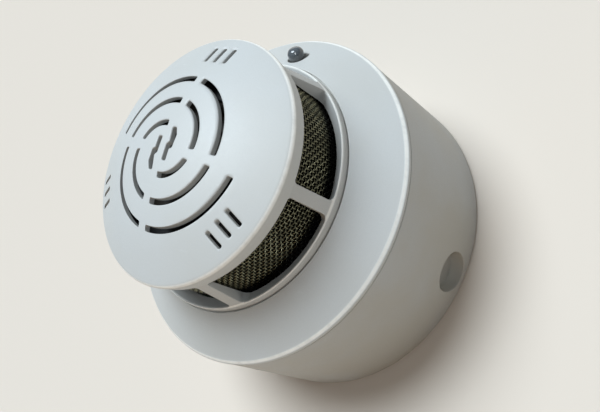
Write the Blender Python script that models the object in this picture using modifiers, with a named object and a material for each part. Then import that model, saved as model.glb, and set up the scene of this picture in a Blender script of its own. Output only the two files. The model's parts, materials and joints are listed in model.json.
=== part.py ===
"""Round smoke-sensing alarm siren: a twist-off head with a sounder grille on a deep back box.

+Z points out of the front, and the origin is the centre of the flat back that sits on the wall.
Every length is in metres.
"""
import math

import bmesh
import bpy
from mathutils import Matrix, Vector

GAP = 0.3e-3

# Back box
BOX_BACK_RADIUS = 49.9e-3
BOX_FRONT_RADIUS = 50.6e-3
BOX_HEIGHT = 41.5e-3
BOX_INNER_BACK = 47.4e-3
BOX_INNER_FRONT = 48.0e-3
BOX_FLOOR = 2.4e-3
BOX_EDGE = 1.3e-3
TONGUE_RADIUS = 49.0e-3
TONGUE_HEIGHT = 0.6e-3
KNOCKOUT_RADIUS = 6.0e-3
KNOCKOUT_HEIGHT = 8.3e-3
KNOCKOUT_SIDE = -2.7e-3
KNOCKOUT_DEPTH = 4.5e-3
KNOCKOUT_WALL = 1.3e-3
ENTRY_RADIUS = 8.3e-3
SLOT_OFFSET = 30.0e-3
SLOT_WIDTH = 4.4e-3
SLOT_LENGTH = 9.0e-3
BOSS_RADIUS = 3.2e-3
BOSS_CIRCLE = 34.5e-3
BOSS_ANGLES = (90, 210, 330)

# Interface board in the back box
BOARD_LOW = 8.0e-3
BOARD_THICK = 1.6e-3
BOARD_WIDTH = 48.0e-3
BOARD_FRONT_Y = -11.0e-3
BOARD_BACK_Y = -38.5e-3
BOARD_PILLARS = ((-21.0e-3, -35.0e-3), (21.0e-3, -35.0e-3))

# Bayonet socket
SOCKET_LOW = 32.0e-3
SOCKET_TOP = 34.0e-3
SOCKET_RADIUS = 47.2e-3
SOCKET_WALL_INNER = 45.6e-3
SOCKET_WALL_TOP = 38.9e-3
SOCKET_OPENING = 16.0e-3
RAMP_INNER = 41.0e-3
RAMP_LOW = 37.5e-3
LUG_ANGLES = (90, 210, 330)
LUG_HALF = 9.0
RAMP_HALF = 10.0
RELEASE_TURN = 20.0
CONTACT_CIRCLE = 29.0e-3
CONTACT_ANGLES = (45, 135, 225, 315)
CLAMP_OFFSET = -4.0e-3
TAMPER_Y = 22.0e-3

# Head
PLATE_LOW = 39.4e-3
PLATE_TOP = 41.0e-3
PLATE_RADIUS = 47.3e-3
COLLAR_OUTER = 39.4e-3
COLLAR_INNER = 37.8e-3
COLLAR_LOW = 35.4e-3
LUG_OUTER = 43.6e-3
LUG_TOP = 37.2e-3
HEAD_BOARD_LOW = 42.2e-3
HEAD_BOARD_TOP = 43.8e-3
HEAD_BOARD_RADIUS = 45.6e-3
HEAD_SCREW_CIRCLE = 42.5e-3
HEAD_SCREW_ANGLES = (30, 150, 270)
SHOULDER_LOW = 41.9e-3
SHOULDER_RADIUS = 50.75e-3
CONE_EDGE = (50.0e-3, 43.7e-3)
CONE_TOP = (37.8e-3, 52.2e-3)
SHELL_DROP = 2.43e-3
LEDGE_INNER = 35.3e-3
LEDGE_TOP = 51.4e-3
LED_CIRCLE = 42.0e-3
LED_RADIUS = 2.5e-3

# Grille cap
DOME_TOP = 83.1e-3
DOME_DROP_2 = 17.8e-3
DOME_DROP_4 = 3.5e-3
DOME_SPAN = 50.0e-3
CAP_WALL = 1.6e-3
CAP_RADIUS = 35.95e-3
CAP_BORE = 33.9e-3
RING_RADIUS = 37.5e-3
RING_LOW = 51.7e-3
WINDOW_COUNT = 6
WINDOW_HALF = 26.9
WINDOW_SHIFT = -1.2
WINDOW_LOW = 54.45e-3
WINDOW_TOP = 68.25e-3
LIP_RADIUS = 35.25e-3
SPIRAL_START = 24.4e-3
SPIRAL_PITCH = 14.3e-3
SPIRAL_FROM = -5.8
SPIRAL_TURN = 430.0
SPIRAL_SLOT = 1.6e-3
SPIRAL_BRIDGE = 3.0e-3
STROKE = ((2.4e-3, 6.2e-3), (3.6e-3, 4.2e-3), (3.7e-3, 0.7e-3), (2.8e-3, 0.2e-3),
          (3.1e-3, -3.1e-3), (1.6e-3, -3.1e-3), (1.3e-3, 1.3e-3), (2.1e-3, 2.2e-3),
          (0.9e-3, 6.2e-3))
PATTERN_CENTRE = (-0.4e-3, -0.6e-3)
SLOT_LOW = 70.0e-3
SLOT_HIGH = 86.0e-3
VENT_ANGLES = (90, 210, 330)
VENT_INNER = 27.4e-3
VENT_OUTER = 32.4e-3
VENT_WIDTH = 1.25e-3
VENT_SPACING = 3.85e-3
VENT_LOW = 68.0e-3

# Parts under the cap
MESH_OUTER = 33.4e-3
MESH_INNER = 33.0e-3
MESH_LOW = 51.0e-3
MESH_TOP = 69.8e-3
CHAMBER_LOW = 46.0e-3
CHAMBER_FLOOR = 48.0e-3
LABYRINTH_TOP = 67.6e-3
LABYRINTH_RADIUS = 30.0e-3
VANE_COUNT = 14
OPTIC_AXIS_Z = 55.0e-3
OPTIC_ANGLES = {"ir_emitter": 205, "photodiode": 335}
HOLDER_RADIUS = 27.0e-3
HOLDER_LOW = 68.2e-3
PIEZO_RADIUS = 17.5e-3
PIEZO_LOW = 73.0e-3

# Setting controls under the head
DIP_X = -6.0e-3
DIP_PITCH = 2.54e-3
DIP_TRAVEL = 1.5e-3
TRIMMER_X = 6.5e-3


def make_collection(name):
    collection = bpy.data.collections.new(name)
    bpy.context.scene.collection.children.link(collection)
    return collection


def clear_scene():
    for obj in list(bpy.data.objects):
        bpy.data.objects.remove(obj, do_unlink=True)


clear_scene()
MODEL = make_collection("alarm_siren")
CUTTERS = make_collection("cutters")


def finish(material_name, colour, roughness, metallic=0.0):
    """A Principled material of its own for one sub-part."""
    material = bpy.data.materials.new(material_name)
    material.use_nodes = True
    shader = material.node_tree.nodes["Principled BSDF"]
    shader.inputs["Base Color"].default_value = (*colour, 1.0)
    shader.inputs["Roughness"].default_value = roughness
    shader.inputs["Metallic"].default_value = metallic
    return material


WHITE_PLASTIC = ((0.62, 0.67, 0.69), 0.45)
BLACK_PLASTIC = ((0.015, 0.015, 0.017), 0.5)
BOARD_GREEN = ((0.02, 0.16, 0.06), 0.4)
BRASS = ((0.72, 0.55, 0.25), 0.3, 1.0)
STEEL = ((0.60, 0.60, 0.58), 0.35, 1.0)
GREEN_PLASTIC = ((0.05, 0.30, 0.14), 0.45)
RUBBER = ((0.03, 0.03, 0.03), 0.8)
SOCKET_GREY = ((0.70, 0.70, 0.66), 0.5)
SLEEVE_BLUE = ((0.05, 0.06, 0.12), 0.4)
PLUNGER_WHITE = ((0.75, 0.75, 0.72), 0.45)
SLIDER_WHITE = ((0.85, 0.85, 0.82), 0.4)
ROTOR_WHITE = ((0.80, 0.80, 0.76), 0.4)
SWITCH_RED = ((0.50, 0.03, 0.02), 0.45)
TRIMMER_BLUE = ((0.03, 0.12, 0.40), 0.4)
SMOKED = ((0.10, 0.11, 0.12), 0.15)
CLEAR_BLUE = ((0.30, 0.33, 0.45), 0.1)
BLACK_LENS = ((0.02, 0.02, 0.03), 0.1)
GUARD_STEEL = ((0.05, 0.05, 0.035), 0.45, 0.9)
CERAMIC = ((0.75, 0.72, 0.62), 0.35)
WIRE_LOOKS = {1: ((0.60, 0.03, 0.02), 0.4), 2: ((0.02, 0.02, 0.02), 0.4),
              3: ((0.02, 0.08, 0.45), 0.4), 4: ((0.65, 0.45, 0.03), 0.4)}


def place(obj, looks=None):
    """Puts an object with the model when it has looks, and with the cutters when it has none."""
    if looks is None:
        CUTTERS.objects.link(obj)
        obj.hide_render = True
        obj.display_type = "WIRE"
        return obj
    MODEL.objects.link(obj)
    obj.data.materials.clear()
    obj.data.materials.append(finish(obj.name + "_finish", *looks))
    if obj.type == "MESH":
        obj.data.shade_smooth()
        obj.data.set_sharp_from_angle(angle=math.radians(35))
    return obj


def from_bmesh(name, shape, looks=None):
    mesh = bpy.data.meshes.new(name)
    shape.to_mesh(mesh)
    shape.free()
    return place(bpy.data.objects.new(name, mesh), looks)


def box(name, low, high, looks=None):
    shape = bmesh.new()
    bmesh.ops.create_cube(shape, size=1.0)
    size = Vector(high) - Vector(low)
    centre = (Vector(high) + Vector(low)) / 2
    bmesh.ops.scale(shape, vec=size, verts=shape.verts)
    bmesh.ops.translate(shape, vec=centre, verts=shape.verts)
    return from_bmesh(name, shape, looks)


def cylinder(name, radius, low, high, at=(0.0, 0.0), looks=None, sides=16):
    """An upright cylinder from low to high, with its axis through the point at."""
    shape = bmesh.new()
    bmesh.ops.create_cone(shape, cap_ends=True, segments=sides, radius1=radius, radius2=radius,
                          depth=high - low)
    bmesh.ops.translate(shape, vec=(at[0], at[1], (low + high) / 2), verts=shape.verts)
    return from_bmesh(name, shape, looks)


def turned(name, profile, looks=None, sides=40):
    """A profile of (radius, height) points turned about Z, given down its outer side first."""
    closed = profile[0][0] > 0
    count = len(profile)
    edges = [(i, i + 1) for i in range(count - 1)] + ([(count - 1, 0)] if closed else [])
    mesh = bpy.data.meshes.new(name)
    mesh.from_pydata([(r, 0.0, z) for r, z in profile], edges, [])
    obj = place(bpy.data.objects.new(name, mesh), looks)
    screw = obj.modifiers.new("turn", "SCREW")
    screw.steps = screw.render_steps = sides
    screw.use_merge_vertices = True
    screw.merge_threshold = 1e-6
    screw.use_smooth_shade = True
    return obj


def mesh_of_curve(curve_object):
    """The welded mesh of a curve object, which is then removed."""
    bpy.context.view_layer.update()
    depsgraph = bpy.context.evaluated_depsgraph_get()
    mesh = bpy.data.meshes.new_from_object(curve_object.evaluated_get(depsgraph))
    shape = bmesh.new()
    shape.from_mesh(mesh)
    bmesh.ops.remove_doubles(shape, verts=shape.verts, dist=1e-6)
    bmesh.ops.recalc_face_normals(shape, faces=shape.faces)
    bpy.data.meshes.remove(mesh)
    curve = curve_object.data
    bpy.data.objects.remove(curve_object)
    bpy.data.curves.remove(curve)
    return shape


def prism(name, outline, low, high, looks=None, matrix=None):
    """A flat outline of (x, y) points extruded from low to high, then moved by the matrix."""
    curve = bpy.data.curves.new(name + "_outline", "CURVE")
    curve.dimensions = "2D"
    curve.fill_mode = "BOTH"
    curve.extrude = (high - low) / 2
    spline = curve.splines.new("POLY")
    spline.points.add(len(outline) - 1)
    for point, (x, y) in zip(spline.points, outline):
        point.co = (x, y, 0.0, 1.0)
    spline.use_cyclic_u = True
    flat = bpy.data.objects.new(name + "_outline", curve)
    bpy.context.scene.collection.objects.link(flat)
    shape = mesh_of_curve(flat)
    bmesh.ops.translate(shape, vec=(0, 0, (low + high) / 2), verts=shape.verts)
    if matrix is not None:
        bmesh.ops.transform(shape, matrix=matrix, verts=shape.verts)
    return from_bmesh(name, shape, looks)


def tube(name, points, radius, looks):
    """A round wire along a chain of points."""
    curve = bpy.data.curves.new(name + "_path", "CURVE")
    curve.dimensions = "3D"
    curve.bevel_depth = radius
    curve.bevel_resolution = 2
    curve.use_fill_caps = True
    spline = curve.splines.new("POLY")
    spline.points.add(len(points) - 1)
    for point, at in zip(spline.points, points):
        point.co = (*at, 1.0)
    wire = bpy.data.objects.new(name + "_path", curve)
    bpy.context.scene.collection.objects.link(wire)
    return from_bmesh(name, mesh_of_curve(wire), looks)


def smooth_route(knots, per_span=2):
    """Points along the Catmull-Rom curve through the knots."""
    ends = [knots[0]] + list(knots) + [knots[-1]]
    route = []
    for a, b, c, d in zip(ends, ends[1:], ends[2:], ends[3:]):
        a, b, c, d = (Vector(k) for k in (a, b, c, d))
        for step in range(per_span):
            t = step / per_span
            route.append(0.5 * (2 * b + (c - a) * t + (2 * a - 5 * b + 4 * c - d) * t * t
                                + (3 * b - a - 3 * c + d) * t ** 3))
    route.append(Vector(knots[-1]))
    return route


def combine(obj, tool, operation):
    modifier = obj.modifiers.new(operation.lower(), "BOOLEAN")
    modifier.operation = operation
    modifier.object = tool
    modifier.solver = "EXACT"


def cut(obj, *tools):
    for tool in tools:
        combine(obj, tool, "DIFFERENCE")


def unite(obj, *tools):
    for tool in tools:
        combine(obj, tool, "UNION")


def soften(obj, width, segments=1):
    bevel = obj.modifiers.new("bevel", "BEVEL")
    bevel.width = width
    bevel.segments = segments
    bevel.limit_method = "ANGLE"
    bevel.angle_limit = math.radians(50)


def polar(radius, degrees):
    angle = math.radians(degrees)
    return radius * math.cos(angle), radius * math.sin(angle)


def arc(centre, radius, start, end, steps):
    return [(centre[0] + radius * math.cos(math.radians(start + (end - start) * i / steps)),
             centre[1] + radius * math.sin(math.radians(start + (end - start) * i / steps)))
            for i in range(steps + 1)]


def sector(inner, outer, start, end, steps=4):
    """The outline of a piece of a flat ring between two angles."""
    return arc((0, 0), outer, start, end, steps) + arc((0, 0), inner, end, start, steps)


def turn(degrees):
    return Matrix.Rotation(math.radians(degrees), 4, "Z")


def screw(name, at, head_low, head_radius, length, looks=STEEL, up=True, head_height=1.5e-3):
    """A cross-head screw whose head lies from head_low upwards, or downwards when up is False."""
    shank = 1.2e-3
    tip = head_low - length
    rounded = head_radius - 0.5e-3
    obj = turned(name, [(0, head_low + head_height), (rounded, head_low + head_height),
                        (head_radius, head_low + head_height - 0.6e-3), (head_radius, head_low),
                        (shank, head_low), (shank, tip + 0.8e-3), (0, tip)], looks, sides=12)
    slot_low = head_low + head_height - 0.8e-3
    arm = head_radius * 0.62
    for index, (x, y) in enumerate(((arm, 0.3e-3), (0.3e-3, arm))):
        cut(obj, box(f"{name}_slot_{index}", (-x, -y, slot_low), (x, y, head_low + 3e-3)))
    flip = Matrix.Identity(4) if up else (Matrix.Translation((0, 0, 2 * head_low))
                                          @ Matrix.Rotation(math.pi, 4, "X"))
    placed = Matrix.Translation((at[0], at[1], 0)) @ flip
    obj.matrix_world = placed
    for modifier in obj.modifiers:
        if modifier.type == "BOOLEAN":
            modifier.object.matrix_world = placed
    return obj


def hole(name, at, radius, low, high, sides=10):
    return cylinder(name, radius, low, high, at, sides=sides)


# ---------------------------------------------------------------- back box

def make_back_box():
    low_arc = arc((BOX_BACK_RADIUS - BOX_EDGE, BOX_EDGE), BOX_EDGE, 0, -90, 4)
    profile = [(BOX_INNER_FRONT, BOX_HEIGHT + TONGUE_HEIGHT),
               (TONGUE_RADIUS, BOX_HEIGHT + TONGUE_HEIGHT), (TONGUE_RADIUS, BOX_HEIGHT),
               (BOX_FRONT_RADIUS - 0.3e-3, BOX_HEIGHT), (BOX_FRONT_RADIUS, BOX_HEIGHT - 0.4e-3)]
    profile += low_arc
    profile = [(0, BOX_FLOOR), (BOX_INNER_BACK, BOX_FLOOR)] + profile + [(0, 0)]
    obj = turned("back_box", profile, WHITE_PLASTIC)

    across = (Matrix.Translation((0, KNOCKOUT_SIDE, KNOCKOUT_HEIGHT))
              @ Matrix.Rotation(math.pi / 2, 4, "Y"))
    floor_x = BOX_BACK_RADIUS - KNOCKOUT_DEPTH
    cup = cylinder("knockout_cup", KNOCKOUT_RADIUS + KNOCKOUT_WALL, floor_x - KNOCKOUT_WALL,
                   BOX_BACK_RADIUS - 0.8e-3)
    pocket = cylinder("knockout_pocket", KNOCKOUT_RADIUS, floor_x, 55e-3, sides=24)
    for tool in (cup, pocket):
        tool.matrix_world = across
    unite(obj, cup)
    cut(obj, pocket)

    for index, angle in enumerate(BOSS_ANGLES):
        at = polar(BOSS_CIRCLE, angle)
        unite(obj, cylinder(f"boss_{index}", BOSS_RADIUS, BOX_FLOOR - 1e-3, SOCKET_LOW - GAP, at,
                            sides=16))
        cut(obj, hole(f"boss_hole_{index}", at, 1.5e-3, SOCKET_LOW - 10e-3, SOCKET_LOW + 1e-3))
    for index, at in enumerate(BOARD_PILLARS):
        unite(obj, cylinder(f"pillar_{index}", 2.6e-3, BOX_FLOOR - 1e-3, BOARD_LOW - GAP, at,
                            sides=12))
        cut(obj, hole(f"pillar_hole_{index}", at, 1.5e-3, 3.2e-3, BOARD_LOW + 1e-3))
    cut(obj, hole("cable_entry", (0, 0), ENTRY_RADIUS, -1e-3, 4e-3, 24))
    half = (SLOT_LENGTH - SLOT_WIDTH) / 2
    outline = (arc((0, half), SLOT_WIDTH / 2, 0, 180, 8)
               + arc((0, -half), SLOT_WIDTH / 2, 180, 360, 8))
    for index, side in enumerate((-1, 1)):
        cut(obj, prism(f"wall_slot_{index}", outline, -1e-3, 4e-3,
                       matrix=Matrix.Translation((side * SLOT_OFFSET, 0, 0))))


def make_cable_grommet():
    neck = ENTRY_RADIUS - GAP
    flange_low = BOX_FLOOR + GAP
    turned("cable_grommet", [(4.0e-3, 4.6e-3), (8.6e-3, 4.6e-3), (9.8e-3, 3.9e-3),
                             (9.8e-3, flange_low), (neck, flange_low), (neck, 0.3e-3),
                             (5.2e-3, 0.3e-3), (4.0e-3, 1.5e-3)], RUBBER, sides=16)


def make_interface_board():
    half = BOARD_WIDTH / 2
    top = BOARD_LOW + BOARD_THICK
    board = box("interface_board", (-half, BOARD_BACK_Y, BOARD_LOW), (half, BOARD_FRONT_Y, top),
                BOARD_GREEN)
    soften(board, 1.5e-3)
    for index, at in enumerate(BOARD_PILLARS):
        cut(board, hole(f"board_hole_{index}", at, 1.5e-3, BOARD_LOW - 1e-3, top + 1e-3))
        screw(f"board_screw_{index + 1}", at, top + GAP, 2.3e-3, 6.0e-3)

    rest = top + GAP
    block = box("terminal_block", (-21.7e-3, -21.0e-3, rest), (-1.3e-3, -12.0e-3, rest + 10e-3),
                GREEN_PLASTIC)
    soften(block, 0.4e-3)
    for index in range(4):
        x = -19.0e-3 + 5.0e-3 * index
        cut(block, hole(f"clamp_well_{index}", (x, -16.5e-3), 1.9e-3, rest + 5e-3, rest + 12e-3),
            box(f"wire_port_{index}", (x - 1.4e-3, -14e-3, rest + 2.5e-3),
                (x + 1.4e-3, -11e-3, rest + 6.5e-3)))
    relay = box("relay", (1.5e-3, -27.2e-3, rest), (20.5e-3, -11.8e-3, rest + 11e-3), BLACK_PLASTIC)
    soften(relay, 0.6e-3, 2)
    can = [(0, rest + 11.5e-3), (3.4e-3, rest + 11.5e-3), (3.9e-3, rest + 11e-3),
           (3.9e-3, rest + 2.2e-3), (3.6e-3, rest + 1.8e-3), (3.9e-3, rest + 1.4e-3),
           (3.9e-3, rest), (0, rest)]
    capacitor = turned("smoothing_capacitor", can, SLEEVE_BLUE, sides=16)
    capacitor.location = (-14e-3, -28e-3, 0)
    coil = [(0, rest + 8e-3), (4.9e-3, rest + 8e-3), (4.9e-3, rest + 6.8e-3), (3.9e-3, rest + 6.8e-3),
            (3.9e-3, rest + 1.2e-3), (4.9e-3, rest + 1.2e-3), (4.9e-3, rest), (0, rest)]
    choke = turned("choke_coil", coil, BLACK_PLASTIC, sides=16)
    choke.location = (0, -33e-3, 0)


# ---------------------------------------------------------------- bayonet socket

def make_bayonet_socket():
    profile = [(SOCKET_WALL_INNER, SOCKET_WALL_TOP), (SOCKET_RADIUS, SOCKET_WALL_TOP),
               (SOCKET_RADIUS, SOCKET_LOW), (SOCKET_OPENING, SOCKET_LOW),
               (SOCKET_OPENING, SOCKET_TOP), (SOCKET_WALL_INNER, SOCKET_TOP)]
    obj = turned("bayonet_socket", profile, SOCKET_GREY)
    wall = SOCKET_WALL_INNER + 0.8e-3
    for index, angle in enumerate(LUG_ANGLES):
        ramp = sector(RAMP_INNER, wall, angle - RAMP_HALF - 3, angle + RAMP_HALF)
        lock_stop = sector(RAMP_INNER, wall, angle - LUG_HALF - 4, angle - LUG_HALF - 1, 1)
        free_from = angle + RELEASE_TURN + LUG_HALF + 1
        free_stop = sector(RAMP_INNER, wall, free_from, free_from + 3, 1)
        unite(obj, prism(f"ramp_{index}", ramp, RAMP_LOW, SOCKET_WALL_TOP - 0.1e-3),
              prism(f"lock_stop_{index}", lock_stop, SOCKET_TOP - 0.5e-3, RAMP_LOW + 0.3e-3),
              prism(f"free_stop_{index}", free_stop, SOCKET_TOP - 0.5e-3, LUG_TOP))
    for index, angle in enumerate(BOSS_ANGLES):
        at = polar(BOSS_CIRCLE, angle)
        cut(obj, hole(f"socket_hole_{index}", at, 1.6e-3, SOCKET_LOW - 1e-3, SOCKET_TOP + 1e-3))
        screw(f"socket_screw_{index + 1}", at, SOCKET_TOP + GAP, 2.3e-3, 9.0e-3)
    for index, angle in enumerate(CONTACT_ANGLES):
        x, y, _ = turn(angle) @ Vector((CONTACT_CIRCLE, CLAMP_OFFSET, 0))
        cut(obj, hole(f"clamp_hole_{index}", (x, y), 1.6e-3, SOCKET_LOW - 1e-3,
                      SOCKET_TOP + 1e-3))


def make_contact_blades():
    """Spring blades that press on the head's contact plates, each with its wire clamp screw."""
    thick = 0.4e-3
    rest = SOCKET_TOP + GAP
    path = [(-6.5e-3, rest), (-0.8e-3, rest), (3.0e-3, 37.3e-3), (4.4e-3, 37.9e-3),
            (5.8e-3, 37.1e-3)]
    outline = path + [(y, z + thick) for y, z in reversed(path)]
    stand = Matrix(((0, 0, 1, 0), (1, 0, 0, 0), (0, 1, 0, 0), (0, 0, 0, 1)))
    for index, angle in enumerate(CONTACT_ANGLES):
        blade = prism(f"contact_blade_{index + 1}", outline, CONTACT_CIRCLE - 2.5e-3,
                      CONTACT_CIRCLE + 2.5e-3, BRASS, matrix=turn(angle) @ stand)
        x, y, _ = turn(angle) @ Vector((CONTACT_CIRCLE, CLAMP_OFFSET, 0))
        cut(blade, hole(f"blade_hole_{index}", (x, y), 1.6e-3, rest - 1e-3, rest + 2e-3))
        screw(f"clamp_screw_{index + 1}", (x, y), rest + thick + GAP, 2.3e-3, 5.0e-3)


def make_tamper_switch():
    rest = SOCKET_TOP + GAP
    top = rest + 2.9e-3
    switch = box("tamper_switch", (-3e-3, TAMPER_Y - 3e-3, rest), (3e-3, TAMPER_Y + 3e-3, top),
                 BLACK_PLASTIC)
    soften(switch, 0.3e-3)
    cut(switch, hole("plunger_bore", (0, TAMPER_Y), 1.8e-3, rest + 0.5e-3, top + 1e-3, 16))
    plunger_top = PLATE_LOW - GAP
    plunger = turned("tamper_plunger", [(0, plunger_top), (0.8e-3, plunger_top),
                                        (1.5e-3, plunger_top - 0.5e-3), (1.5e-3, top - 0.6e-3),
                                        (0, top - 0.6e-3)], PLUNGER_WHITE, sides=16)
    plunger.location = (0, TAMPER_Y, 0)


def make_hookup_wires():
    """Four insulated wires from the terminal block, up through the socket, to the clamps."""
    start_y, end_z = -11.7e-3, 35.9e-3
    routes = {
        1: [(-19.0, -8.0, 15.0), (-17.0, -5.0, 20.0), (-13.0, -5.0, 27.0), (-11.5, -7.0, 32.5),
            (-13.0, -9.0, 36.3), (-17.0, -12.0, 36.8)],
        2: [(-14.0, -8.0, 15.5), (-12.0, -3.0, 21.0), (-10.2, 0.5, 27.0), (-10.8, 3.5, 32.5),
            (-13.0, 8.0, 36.3), (-14.8, 14.5, 36.7)],
        3: [(-8.0, -8.0, 15.5), (-3.0, -4.5, 21.0), (3.5, -3.5, 27.0), (9.4, -2.5, 32.5),
            (13.0, 2.5, 36.2), (17.5, 9.5, 36.8)],
        4: [(-3.0, -8.0, 16.0), (2.0, -6.5, 22.0), (7.0, -7.5, 28.0), (9.6, -9.6, 33.0),
            (11.8, -13.0, 36.5), (13.8, -17.0, 36.8)],
    }
    ends = {1: 225, 2: 135, 3: 45, 4: 315}
    for number, middle in routes.items():
        start = (-24.0e-3 + 5.0e-3 * number, start_y, 14.4e-3)
        end = turn(ends[number]) @ Vector((CONTACT_CIRCLE - 3.3e-3, CLAMP_OFFSET, end_z))
        knots = [start] + [tuple(v * 1e-3 for v in knot) for knot in middle] + [tuple(end)]
        tube(f"hookup_wire_{number}", smooth_route(knots), 0.8e-3, WIRE_LOOKS[number])


# ---------------------------------------------------------------- head

def cone_height(radius):
    slope = (CONE_TOP[1] - CONE_EDGE[1]) / (CONE_EDGE[0] - CONE_TOP[0])
    return CONE_EDGE[1] + (CONE_EDGE[0] - radius) * slope


def cone_frame():
    """The frame on the shoulder where the status light stands, with its Z along the normal."""
    tilt = math.atan2(CONE_TOP[1] - CONE_EDGE[1], CONE_EDGE[0] - CONE_TOP[0])
    return (Matrix.Translation((0, LED_CIRCLE, cone_height(LED_CIRCLE)))
            @ Matrix.Rotation(-tilt, 4, "X"))


def make_shoulder_housing():
    edge = [(50.0e-3, 43.7e-3), (50.45e-3, 43.25e-3), (50.7e-3, 42.75e-3)]
    profile = [CONE_TOP] + edge + [
        (SHOULDER_RADIUS, SHOULDER_LOW), (TONGUE_RADIUS + GAP, SHOULDER_LOW),
        (TONGUE_RADIUS + GAP, 42.5e-3), (48.0e-3, cone_height(48.0e-3) - SHELL_DROP),
        (38.2e-3, cone_height(38.2e-3) - SHELL_DROP), (LEDGE_INNER, LEDGE_TOP - 2.1e-3),
        (LEDGE_INNER, LEDGE_TOP), (CONE_TOP[0], LEDGE_TOP)]
    obj = turned("shoulder_housing", profile, WHITE_PLASTIC)
    for index, angle in enumerate(HEAD_SCREW_ANGLES):
        at = polar(HEAD_SCREW_CIRCLE, angle)
        unite(obj, cylinder(f"head_boss_{index}", 2.8e-3, HEAD_BOARD_TOP + GAP, 46.5e-3, at,
                            sides=16))
        cut(obj, hole(f"head_boss_hole_{index}", at, 1.5e-3, HEAD_BOARD_TOP - 1e-3, 45.9e-3))
    # The light stands in a pear-shaped hole that points outwards and to +X.
    reach, small = 2.3e-3, 1.5e-3
    large = LED_RADIUS + 0.4e-3
    lean = math.degrees(math.acos((large - small) / reach))
    outline = (arc((0, 0), large, 45 + lean, 405 - lean, 14)
               + arc(polar(reach, 45), small, 45 - lean, 45 + lean, 6))
    cut(obj, prism("light_hole", outline, -3.2e-3, 3e-3, matrix=cone_frame()))


def make_status_light():
    light = turned("status_led", [(0, 3.2e-3), (1.1e-3, 2.95e-3), (2.0e-3, 2.2e-3),
                                  (2.4e-3, 1.3e-3), (LED_RADIUS, 0.3e-3), (LED_RADIUS, -2.4e-3),
                                  (2.7e-3, -2.4e-3), (2.7e-3, -3.1e-3), (0, -3.1e-3)],
                   SMOKED, sides=16)
    light.matrix_world = cone_frame()
    foot = cone_frame() @ Vector((0, 0, -2.8e-3))
    for index, x in enumerate((-1.27e-3, 1.27e-3)):
        unite(light, hole(f"light_lead_{index}", (x, foot.y), 0.3e-3, HEAD_BOARD_TOP + GAP,
                          foot.z, 8))


def dome_height(radius):
    share = radius / DOME_SPAN
    return DOME_TOP - DOME_DROP_2 * share ** 2 - DOME_DROP_4 * share ** 4


def spiral_point(turned_degrees):
    """Radius and angle on the first spiral arm, which runs clockwise and inwards."""
    return (SPIRAL_START - SPIRAL_PITCH * turned_degrees / 360, SPIRAL_FROM - turned_degrees)


def spiral_spans():
    """The stretches of a spiral arm between its bridges, which lie at every quarter turn."""
    spans, start = [], 0.0
    for quarter in range(1, 5):
        centre = 90 * quarter + SPIRAL_FROM
        half = math.degrees(SPIRAL_BRIDGE / 2 / spiral_point(centre)[0])
        spans.append((start, centre - half))
        start = centre + half
    return spans + [(start, SPIRAL_TURN)]


def spiral_outline(start, end):
    steps = max(3, round((end - start) / 18))
    stations = [spiral_point(start + (end - start) * i / steps) for i in range(steps + 1)]
    outer = [polar(r + SPIRAL_SLOT / 2, a) for r, a in stations]
    inner = [polar(r - SPIRAL_SLOT / 2, a) for r, a in stations]
    return outer + inner[::-1]


def make_grille_cap():
    rim = arc((CAP_RADIUS - 1.7e-3, 72.3e-3), 1.7e-3, 62, -4, 3)
    dome = [(r * 1e-3, dome_height(r * 1e-3)) for r in (0, 10, 19, 27, 33)]
    inner_dome = [(r * 1e-3, dome_height(r * 1e-3) - CAP_WALL) for r in (32.6, 22, 0)]
    profile = dome + rim + [
        (LIP_RADIUS, WINDOW_TOP), (37.25e-3, WINDOW_LOW), (RING_RADIUS, WINDOW_LOW - 0.8e-3),
        (RING_RADIUS, RING_LOW), (LEDGE_INNER - GAP, RING_LOW), (LEDGE_INNER - GAP, 49.0e-3),
        (34.0e-3, 49.0e-3), (CAP_BORE, RING_LOW), (CAP_BORE, 70.8e-3)] + inner_dome
    obj = turned("grille_cap", profile, WHITE_PLASTIC)

    for index in range(WINDOW_COUNT):
        middle = 360 / WINDOW_COUNT * (index + 0.5) + WINDOW_SHIFT
        outline = sector(CAP_BORE - 0.6e-3, 41e-3, middle - WINDOW_HALF, middle + WINDOW_HALF, 6)
        cut(obj, prism(f"window_{index}", outline, WINDOW_LOW, WINDOW_TOP))
    centre = Matrix.Translation((*PATTERN_CENTRE, 0))
    for arm in range(2):
        half_turn = centre @ turn(180 * arm)
        for index, span in enumerate(spiral_spans()):
            cut(obj, prism(f"spiral_{arm}_{index}", spiral_outline(*span), SLOT_LOW, SLOT_HIGH,
                           matrix=half_turn))
        cut(obj, prism(f"stroke_{arm}", STROKE, SLOT_LOW, SLOT_HIGH, matrix=half_turn))
    half = VENT_WIDTH / 2
    for group, angle in enumerate(VENT_ANGLES):
        for index, shift in enumerate((-VENT_SPACING, 0, VENT_SPACING)):
            vent = box(f"vent_{group}_{index}", (VENT_INNER, shift - half, VENT_LOW),
                       (VENT_OUTER, shift + half, SLOT_HIGH))
            vent.matrix_world = centre @ turn(angle)
            cut(obj, vent)
    for index, angle in enumerate((0, 120, 240)):
        stem = sector(34.0e-3, 34.9e-3, angle - 6, angle + 6, 3)
        barb = sector(34.5e-3, 36.2e-3, angle - 5, angle + 5, 3)
        unite(obj, prism(f"hook_stem_{index}", stem, 47.8e-3, 49.6e-3),
              prism(f"hook_barb_{index}", barb, 47.9e-3, 48.9e-3))


def make_insect_mesh():
    turned("insect_mesh", [(MESH_INNER, MESH_TOP), (MESH_OUTER, MESH_TOP), (MESH_OUTER, MESH_LOW),
                           (MESH_INNER, MESH_LOW)], GUARD_STEEL)


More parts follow.
